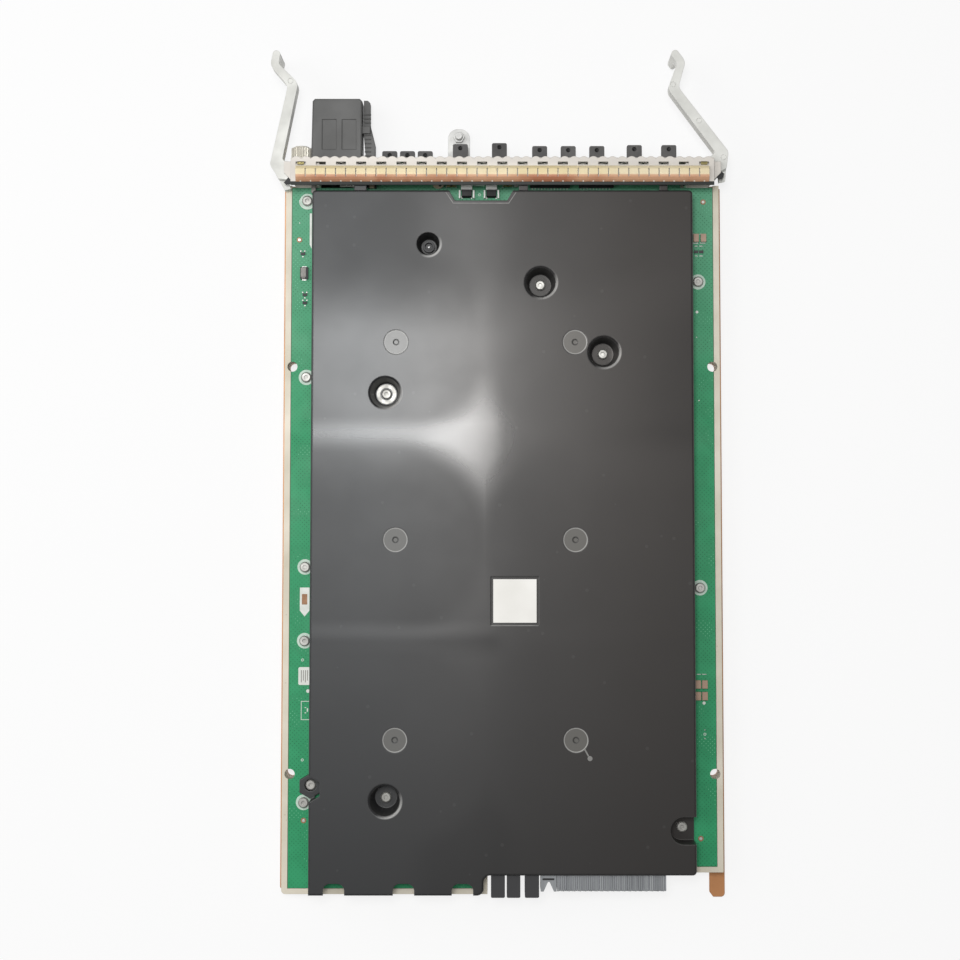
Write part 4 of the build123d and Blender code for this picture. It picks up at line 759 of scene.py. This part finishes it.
def buildLabels(look):
    shape = bmesh.new()
    low, high = boardTop, boardTop + look["thick"]
    addPrism(shape, look["arrow"], low, high)
    addPrism(shape, rectanglePoints(*look["window"], look["corner"]), high, high + look["windowThick"], 1)
    addPrism(shape, rectanglePoints(*look["plate"], look["plateCorner"]), low, high)
    near, far = look["barSpan"]
    barTop = high + look["barThick"]
    for index, x in enumerate(look["bars"]):
        start = near + look["barStep"] * (index % 2)
        addPrism(shape, rectanglePoints(x, x + look["barWidth"], start, far), high, barTop, 2)
    addPrism(shape, rectanglePoints(*look["frontLabel"], look["corner"]), low, high)
    for left, right in look["frontBars"]:
        for y, shorter in look["frontRows"]:
            bar = rectanglePoints(left, right - shorter, y, y + look["frontBarHeight"])
            addPrism(shape, bar, high, barTop, 2)
    finishPiece("boardLabels", shape, ["silkWhite", "copperPad", "softGrey"], "chassis")


buildLabels(labelLook)

# solder joints and tops of the small parts on the board's edges
partLook = {"threeLegs": [(-100.3, 136.9), (-99.2, 116.1), (-99.1, 112.1)],
            "legs": [(-1.05, 1.35), (0.95, 1.35), (0.0, -1.45)], "legRadius": 0.42, "legHeight": 0.35,
            "chip": (-101.5, -97.5, 124.0, 130.0), "chipInset": 0.9, "terminal": 0.6, "terminalHeight": 0.5,
            "chipTop": 14.9, "printThick": 0.05,
            "prints": [(-101.15, -98.6, 125.0, 129.7, 0.4), (-100.8, -99.0, 124.25, 124.8, 0.1)],
            "capacitors": [(95.8, 98.5, 142.5, 146.7), (99.3, 102.2, 142.5, 146.7),
                           (96.3, 98.5, -77.2, -73.2), (99.0, 101.2, -77.2, -73.2),
                           (96.3, 98.5, -82.8, -78.6), (99.0, 101.2, -82.8, -78.6)],
            "resistors": [(96.7, 98.2, 136.0, 140.6), (99.0, 100.8, 136.0, 140.6)], "cap": 0.35,
            "capHeight": 0.4,
            "specks": [(100.2, -100.4), (100.2, -104.6), (97.4, 94.8), (-102.0, 152.6), (98.4, 63.0)],
            "speckRadius": 0.3, "speckHeight": 0.12}


def addTerminals(shape, left, right, near, far, reach, height):
    # a solder fillet at each end of a part
    for edge, outside in ((near, -reach), (far, reach)):
        addBox(shape, ((left, right), sorted((edge, edge + outside)), (boardTop, boardTop + height)))


def buildPartJoints(look):
    shape = bmesh.new()
    for x, y in look["threeLegs"]:
        for across, along in look["legs"]:
            place = (x + across, y + along)
            addDisc(shape, place, look["legRadius"], boardTop, boardTop + look["legHeight"], 0, 12)
    left, right, near, far = look["chip"]
    inset = look["chipInset"]
    addTerminals(shape, left + inset, right - inset, near, far, look["terminal"], look["terminalHeight"])
    for spans in look["prints"]:
        addPrism(shape, rectanglePoints(*spans), look["chipTop"], look["chipTop"] + look["printThick"], 1)
    for spans in look["capacitors"] + look["resistors"]:
        addTerminals(shape, *spans, look["cap"], look["capHeight"])
    for place in look["specks"]:
        addDisc(shape, place, look["speckRadius"], boardTop, boardTop + look["speckHeight"], 0, 10)
    finishPiece("solderJoints", shape, ["solderTin", "softGrey"], "chassis", 0.06)


buildPartJoints(partLook)

# status lamps in the cover's notch: pale light blocks on dark bodies with white legs and side strips
lampLook = {"lamps": [(-20.8, -15.1), (-8.3, -2.7)], "blockSpan": (168.9, 171.7), "top": 17.6,
            "blockEdge": (0.7, 0.6), "bodySpan": (164.7, 168.9), "bodyTop": 15.6, "bodyInset": 0.3,
            "bodyStart": 0.5, "bodyEdge": (0.7, 0.9), "leg": (0.7, 1.5, 0.9), "legInset": 0.1, "strip": 0.85,
            "stripGap": 0.25, "stripTop": 15.9, "plate": (-14.5, -8.9, 171.2, 172.8), "plateCorner": 0.2,
            "plateThick": 0.5}


def chamferedProfile(near, far, low, top, edge):
    # side view of a block whose upper rear corner is cut off
    along, down = edge
    return [(near, low), (far, low), (far, top), (near + along, top), (near, top - down)]


def buildLamps(look):
    shape = bmesh.new()
    back, front = look["bodySpan"]
    block = chamferedProfile(*look["blockSpan"], boardTop, look["top"], look["blockEdge"])
    body = chamferedProfile(back + look["bodyStart"], front, boardTop, look["bodyTop"], look["bodyEdge"])
    inset, strip, gap = look["bodyInset"], look["strip"], look["stripGap"]
    width, length, height = look["leg"]
    for left, right in look["lamps"]:
        addPrism(shape, block, left, right, 0, axis=0)
        addPrism(shape, body, left + inset, right - inset, 1, axis=0)
        for side in (left + look["legInset"], right - look["legInset"] - width):
            addBox(shape, ((side, side + width), (back, back + length), (boardTop, boardTop + height)))
        for side in (left - gap - strip, right + gap):
            addBox(shape, ((side, side + strip), (back, front), (boardTop, look["stripTop"])))
    plate = rectanglePoints(*look["plate"], look["plateCorner"])
    addPrism(shape, plate, boardTop, boardTop + look["plateThick"], 2)
    finishNames = ["whitePlastic", "deepBlack", "silkMint"]
    piece = finishPiece("statusLamps", shape, finishNames, "chassis", 0.14)
    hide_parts("lamp_holders")


buildLamps(lampLook)

# painted highlight: thin pale raised strip round the cover's notch, where its rim catches the light
notchHighlightPath = {"outline": [(-28.15, 165.5), (-24.5, 159.9), (3.3, 159.9), (6.95, 165.5), (6.5, 165.5),
                       (3.05, 160.3), (-24.25, 160.3), (-27.7, 165.5)], "sunk": 0.1, "height": 0.06,
           "bevel": 0.03}


# painted highlight along the notch's rim
def buildNotchHighlight(look):
    shape = bmesh.new()
    addPrism(shape, look["outline"], coverTop - look["sunk"], coverTop + look["height"])
    finishPiece("notchRimHighlight", shape, ["paleLine"], "chassis", look["bevel"])


buildNotchHighlight(notchHighlightPath)

# marks on the cover: a drip beside the last gate mark and the light edge of the plate's recess
coverMarkLook = {"drop": (42.6, -112.4), "radius": 1.25,
                 "tail": [(39.7, -108.2), (40.4, -107.8), (42.2, -111.2), (41.6, -111.5)],
                 "edge": (-5.6, 17.6, -48.3, -47.9), "sunk": 0.05, "height": 0.07, "bevel": 0.03}
# bright end of the pin, down its hollow: place, radius, foot and top
pinLook = {"place": (-36.8, 139.9), "radius": 0.85, "low": 15.7, "high": 16.4, "shoulder": 0.3,
           "crown": (0.6, 0.05)}


def buildCoverMarks(look):
    shape = bmesh.new()
    low, high = coverTop - look["sunk"], coverTop + look["height"]
    addDisc(shape, look["drop"], look["radius"], low, high, 0, 18)
    addPrism(shape, look["tail"], low, high)
    addPrism(shape, rectanglePoints(*look["edge"]), low, high)
    finishPiece("gateDrip", shape, ["paleLine"], "chassis", look["bevel"])


def buildPinEnd(look):
    shape = bmesh.new()
    low, high, radius = look["low"], look["high"], look["radius"]
    share, drop = look["crown"]
    profile = [(0, low), (radius, low), (radius, high - look["shoulder"]),
               (radius * share, high - drop), (0, high)]
    addTurned(shape, look["place"], profile, 0, 20)
    finishPiece("pinEnd", shape, ["brightSteel"], "chassis")


buildCoverMarks(coverMarkLook)
buildPinEnd(pinLook)

# other small parts between the cover and the front panel, all standing on the board
frontLook = {"jacks": [(-28.0, -23.5, 170.2, 172.5), (0.5, 4.9, 170.4, 172.7)], "jackTop": 15.2,
             "jackInset": 0.5, "ringInset": 1.0, "ring": (0.95, 0.5), "ringHeight": 0.3, "coreHeight": 0.05,
             "jackLeg": (0.45, 1.2, 0.6), "legPlaces": (-0.5, 0.05), "lobe": ((-32.2, 173.0), 3.2),
             "lobeTop": 14.6, "lobeHole": ((-31.3, 171.5), 0.75), "holeThick": 0.04,
             "tab": (5.8, 7.9, 170.7, 172.5, 0.2), "tabHeight": 0.9, "blocks": [(14.0, 34.0), (38.5, 56.0)],
             "blockSpan": (170.2, 172.8), "blockHeight": 2.2, "blockCorner": 0.3, "pinPitch": 1.6,
             "pinStart": 0.8, "pin": (0.45, 0.7, 0.25), "beige": (-66.9, -64.4, 169.9, 173.2, 0.25),
             "beigeHeight": 2.0, "posts": [(-64.2, -63.4), (-67.5, -67.0)], "postSpan": (169.8, 173.3),
             "postHeight": 2.4, "chip": (-85.9, -83.9, 170.9, 172.4, 0.15), "chipHeight": 0.6,
             "edgeStrip": (-95.9, -93.8, 167.3, 173.6, 0.3), "stripHeight": 3.4}


def addJack(shape, look, left, right, near, far):
    top = look["jackTop"]
    addBox(shape, ((left, right), (near + look["jackInset"], far), (boardTop, top)))
    place = ((left + right) / 2, near + look["ringInset"])
    outer, inner = look["ring"]
    addBand(shape, place, outer, inner, top, top + look["ringHeight"], 0, 18)
    addDisc(shape, place, inner, top, top + look["coreHeight"], 2, 14)
    width, length, height = look["jackLeg"]
    before, after = look["legPlaces"]
    for side in (left + before, right + after):
        addBox(shape, ((side, side + width), (near, near + length), (boardTop, boardTop + height)), 1)


# painted shade: a black block with pins, standing where the board lies in the gasket's shade
def addPinnedShadeBlock(shape, look, left, right):
    near, far = look["blockSpan"]
    outline = rectanglePoints(left, right, near, far, look["blockCorner"])
    addPrism(shape, outline, boardTop, boardTop + look["blockHeight"], 2)
    width, reach, height = look["pin"]
    for index in range(int((right - left) / look["pinPitch"])):
        x = left + look["pinStart"] + index * look["pinPitch"]
        addBox(shape, ((x, x + width), (near - reach, near), (boardTop, boardTop + height)), 1)


def buildFrontParts(look):
    shape = bmesh.new()
    for spans in look["jacks"]:
        addJack(shape, look, *spans)
    centre, radius = look["lobe"]
    addPrism(shape, circlePoints(centre, radius, 18, 180.0, 180.0), boardTop, look["lobeTop"], 3)
    addDisc(shape, *look["lobeHole"], look["lobeTop"], look["lobeTop"] + look["holeThick"], 2, 16)
    addPrism(shape, rectanglePoints(*look["tab"]), boardTop, boardTop + look["tabHeight"], 1)
    # painted shade: pinned black blocks along the gasket's rear edge, where the board lies in its shade
    for left, right in look["blocks"]:
        addPinnedShadeBlock(shape, look, left, right)
    addPrism(shape, rectanglePoints(*look["beige"]), boardTop, boardTop + look["beigeHeight"], 3)
    for post in look["posts"]:
        addBox(shape, (post, look["postSpan"], (boardTop, boardTop + look["postHeight"])), 2)
    addPrism(shape, rectanglePoints(*look["chip"]), boardTop, boardTop + look["chipHeight"], 2)
    addPrism(shape, rectanglePoints(*look["edgeStrip"]), boardTop, boardTop + look["stripHeight"], 4)
    finishNames = ["oliveBrass", "solderTin", "deepBlack", "beigePlastic", "softGrey"]
    finishPiece("frontBoardParts", shape, finishNames, "chassis", 0.1)


buildFrontParts(frontLook)
print("board and notch parts done")

# rings cast on the levers' tops
ringLook = {"outer": 1.45, "inner": 1.1, "sunk": 0.02, "height": 0.14, "left_lever": [(-106.0, 222.5)],
            "right_lever": [(85.2, 220.7), (98.1, 202.4), (110.2, 183.9)]}
# painted shade: black pads on the levers' claws, just under the brackets' ears, where the gap between claw
# and bracket lies in shadow
clawShadeLook = {"left_lever": [(-108.9, 171.0), (-106.6, 173.9), (-104.6, 172.2), (-105.6, 170.6),
                           (-107.4, 169.9)],
            "right_lever": [(105.6, 174.4), (107.6, 177.6), (110.6, 175.6), (109.6, 173.0), (107.9, 172.7)],
            "low": 23.5, "high": 24.0, "bevel": 0.15}


def buildLeverRings(look, lever):
    shape = bmesh.new()
    low, high = leverTop - look["sunk"], leverTop + look["height"]
    for place in look[lever]:
        addBand(shape, place, look["outer"], look["inner"], low, high)
    finishPiece(lever + "_rings", shape, ["leverCasting"], lever)


# painted shade: a black pad standing for the shadowed gap under the bracket's ear
def buildClawShade(look, lever):
    shape = bmesh.new()
    addPrism(shape, look[lever], look["low"], look["high"])
    finishPiece(lever + "_shade_pad", shape, ["deepBlack"], lever, look["bevel"])


for lever in ("left_lever", "right_lever"):
    buildLeverRings(ringLook, lever)
for lever in ("left_lever", "right_lever"):
    buildClawShade(clawShadeLook, lever)

# curled spring tongues that show in the panel's two end slots
tongueLook = {"centres": [-100.0, 100.0], "halfWidth": 1.6, "place": (180.0, 27.7), "radius": 1.15,
              "thick": 0.3, "arc": (12, 20.0, 150.0), "bevel": 0.05}


def buildTongues(look):
    shape = bmesh.new()
    outer = circlePoints(look["place"], look["radius"], *look["arc"])
    inner = circlePoints(look["place"], look["radius"] - look["thick"], *look["arc"])
    for centre in look["centres"]:
        addPrism(shape, outer + inner[::-1], centre - look["halfWidth"], centre + look["halfWidth"], axis=0)
    finishPiece("slotTongues", shape, ["oliveBrass"], "chassis", look["bevel"])


buildTongues(tongueLook)

# fine ribs on the plug's latch
ribLook = {"count": 11, "first": 186.6, "pitch": 2.1, "width": 0.7, "left": -69.6, "right": -66.4,
           "sunk": 0.05, "height": 0.25, "crest": (0.3, 0.7)}


def buildLatchRibs(look):
    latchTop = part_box("plug_latch")[1][2] / mm
    low, high, width = latchTop - look["sunk"], latchTop + look["height"], look["width"]
    rise, fall = look["crest"]
    shape = bmesh.new()
    for index in range(look["count"]):
        near = look["first"] + index * look["pitch"]
        hump = [(near, low), (near + width, low), (near + width * fall, high), (near + width * rise, high)]
        addPrism(shape, hump, look["left"], look["right"], axis=0)
    finishPiece("latchRibs", shape, ["plugPlastic"], "plug_latch")


buildLatchRibs(ribLook)

# painted shade: dark dished disc low in the hole of each cap's tab
capHoleShadeLook = {"inset": 2.1, "radius": 1.08, "low": 7.65, "high": 8.3, "rim": (0.8, 0.05), "dish": 0.35}


# painted shade: dark disc standing for the shade down the tab's hole
def buildCapHoleShade(look, cap):
    near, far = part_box(cap)
    centre = ((near[0] + far[0]) / 2 / mm, far[1] / mm - look["inset"])
    low, high, radius = look["low"], look["high"], look["radius"]
    share, drop = look["rim"]
    shape = bmesh.new()
    profile = [(0, low), (radius, low), (radius, high), (radius * share, high - drop),
               (0, high - look["dish"])]
    addTurned(shape, centre, profile, 0, 20)
    finishPiece(cap + "_hole_shade", shape, ["deepBlack"], cap)


for number in range(1, 11):
    buildCapHoleShade(capHoleShadeLook, f"dust_cap_{number}")

# rear connector: thin wafers of slightly different shades behind a guide with a notched end
waferLook = {"first": 26.6, "last": 80.6, "pitch": 0.9, "gap": 0.14, "near": -176.7, "far": -150.9,
             "low": 13.3, "top": 25.2, "drops": (7, 4, 0.04), "reaches": (5, 3, 0.09), "edge": (0.6, 0.5),
             "guide": (18.6, 26.3), "guideDrop": 0.1, "notch": (20.0, 25.0, 22.5), "notchFlat": 0.4,
             "notchDepth": 4.6, "bar": (19.4, 25.2, -171.2, -170.3, 0.3)}


def unevenStep(index, spread):
    # repeats without a plain rhythm: factor, number of steps and size of one
    factor, steps, size = spread
    return (index * factor) % steps * size


def buildWafers(look):
    shape = bmesh.new()
    near, far, low, top = look["near"], look["far"], look["low"], look["top"]
    for index in range(int((look["last"] - look["first"]) / look["pitch"])):
        left = look["first"] + index * look["pitch"]
        ownNear = near + unevenStep(index, look["reaches"])
        ownTop = top - unevenStep(index, look["drops"])
        section = chamferedProfile(ownNear, far, low, ownTop, look["edge"])
        addPrism(shape, section, left, left + look["pitch"] - look["gap"], index % 3 == 1, axis=0)
    left, right = look["guide"]
    first, last, peak = look["notch"]
    flat, bottom = look["notchFlat"], near + look["notchDepth"]
    outline = [(left, near), (first, near), (peak - flat, bottom), (peak + flat, bottom), (last, near),
               (right, near), (right, far), (left, far)]
    guideTop = top - look["guideDrop"]
    addPrism(shape, outline, low, guideTop)
    addPrism(shape, rectanglePoints(*look["bar"]), guideTop, top, 2)
    finishNames = ["waferGrey", "greyPlastic", "deepBlack"]
    piece = finishPiece("connectorWafers", shape, finishNames, "chassis")
    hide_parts("backplane_wafers", "backplane_housing")


buildWafers(waferLook)
print("lever, slot, plug and connector details done")

# floor, lamps and camera
studio = {"floorSize": 6.0, "floorDrop": 0.0002, "floorColour": (0.9, 0.9, 0.9, 1.0), "floorRoughness": 0.9,
          "floorWhite": 0.8,  # share of plain white that the camera sees on the floor
          "keyPower": 6.9, "keySize": 0.3, "keyPlace": (-0.085, 0.18, 1.2),
          "fillPower": 6.0, "fillSize": 1.0, "fillPlace": (-0.9, 0.3, 0.9), "worldStrength": 0.27}


def makeFloor():
    mesh = bpy.data.meshes.new("studioFloor")
    half = studio["floorSize"] / 2
    mesh.from_pydata([(x, y, 0) for x, y in rectanglePoints(-half, half, -half, half)], [], [(0, 1, 2, 3)])
    floor = bpy.data.objects.new("studioFloor", mesh)
    bpy.context.scene.collection.objects.link(floor)
    floor.location.z = -studio["floorDrop"]
    material, tree, shader = startMaterial("floorPaper")
    shader.inputs["Base Color"].default_value = studio["floorColour"]
    shader.inputs["Roughness"].default_value = studio["floorRoughness"]
    seen = addNode(tree, "ShaderNodeLightPath")
    bright = addNode(tree, "ShaderNodeEmission")
    bright.inputs["Color"].default_value = (1.0, 1.0, 1.0, 1.0)
    mixed = addNode(tree, "ShaderNodeMixShader")
    camera = mathNode(tree, "MULTIPLY", seen.outputs["Is Camera Ray"], studio["floorWhite"])
    tree.links.new(mathNode(tree, "MAXIMUM", camera, seen.outputs["Is Glossy Ray"]), mixed.inputs[0])
    tree.links.new(shader.outputs[0], mixed.inputs[1])
    tree.links.new(bright.outputs[0], mixed.inputs[2])
    output = tree.nodes["Material Output"]
    tree.links.new(mixed.outputs[0], output.inputs["Surface"])
    mesh.materials.append(material)


def makeLamp(name, power, size, place):
    lamp = bpy.data.lights.new(name, "AREA")
    lamp.energy = power
    lamp.size = size
    holder = bpy.data.objects.new(name, lamp)
    holder.location = place
    aim = Vector((0, 0, 0)) - Vector(place)
    holder.rotation_euler = aim.to_track_quat("-Z", "Y").to_euler()
    bpy.context.scene.collection.objects.link(holder)


def makeWorld():
    world = bpy.data.worlds.new("paleRoom")
    bpy.context.scene.world = world
    world.use_nodes = True
    sky = world.node_tree.nodes["Background"]
    sky.inputs["Color"].default_value = (1.0, 1.0, 1.0, 1.0)
    sky.inputs["Strength"].default_value = studio["worldStrength"]


cameraLook = {"lens": 64.125, "sensor": 36.0, "nearest": 0.01, "place": (-0.0012, 0.0085, 0.8675),
              "tilt": 3.3, "shift": (-0.02083, -0.07188)}


def makeCamera():
    lens = bpy.data.cameras.new("bench")
    lens.lens = cameraLook["lens"]
    lens.sensor_width = cameraLook["sensor"]
    lens.shift_x, lens.shift_y = cameraLook["shift"]
    lens.clip_start = cameraLook["nearest"]
    holder = bpy.data.objects.new("bench", lens)
    holder.location = cameraLook["place"]
    holder.rotation_euler = (math.radians(cameraLook["tilt"]), 0.0, 0.0)
    bpy.context.scene.collection.objects.link(holder)
    bpy.context.scene.camera = holder


makeFloor()
makeLamp("keyLamp", studio["keyPower"], studio["keySize"], studio["keyPlace"])
makeLamp("fillLamp", studio["fillPower"], studio["fillSize"], studio["fillPlace"])
makeWorld()
makeCamera()
bpy.context.scene.view_settings.view_transform = "Standard"
print("floor, lamps and camera done")
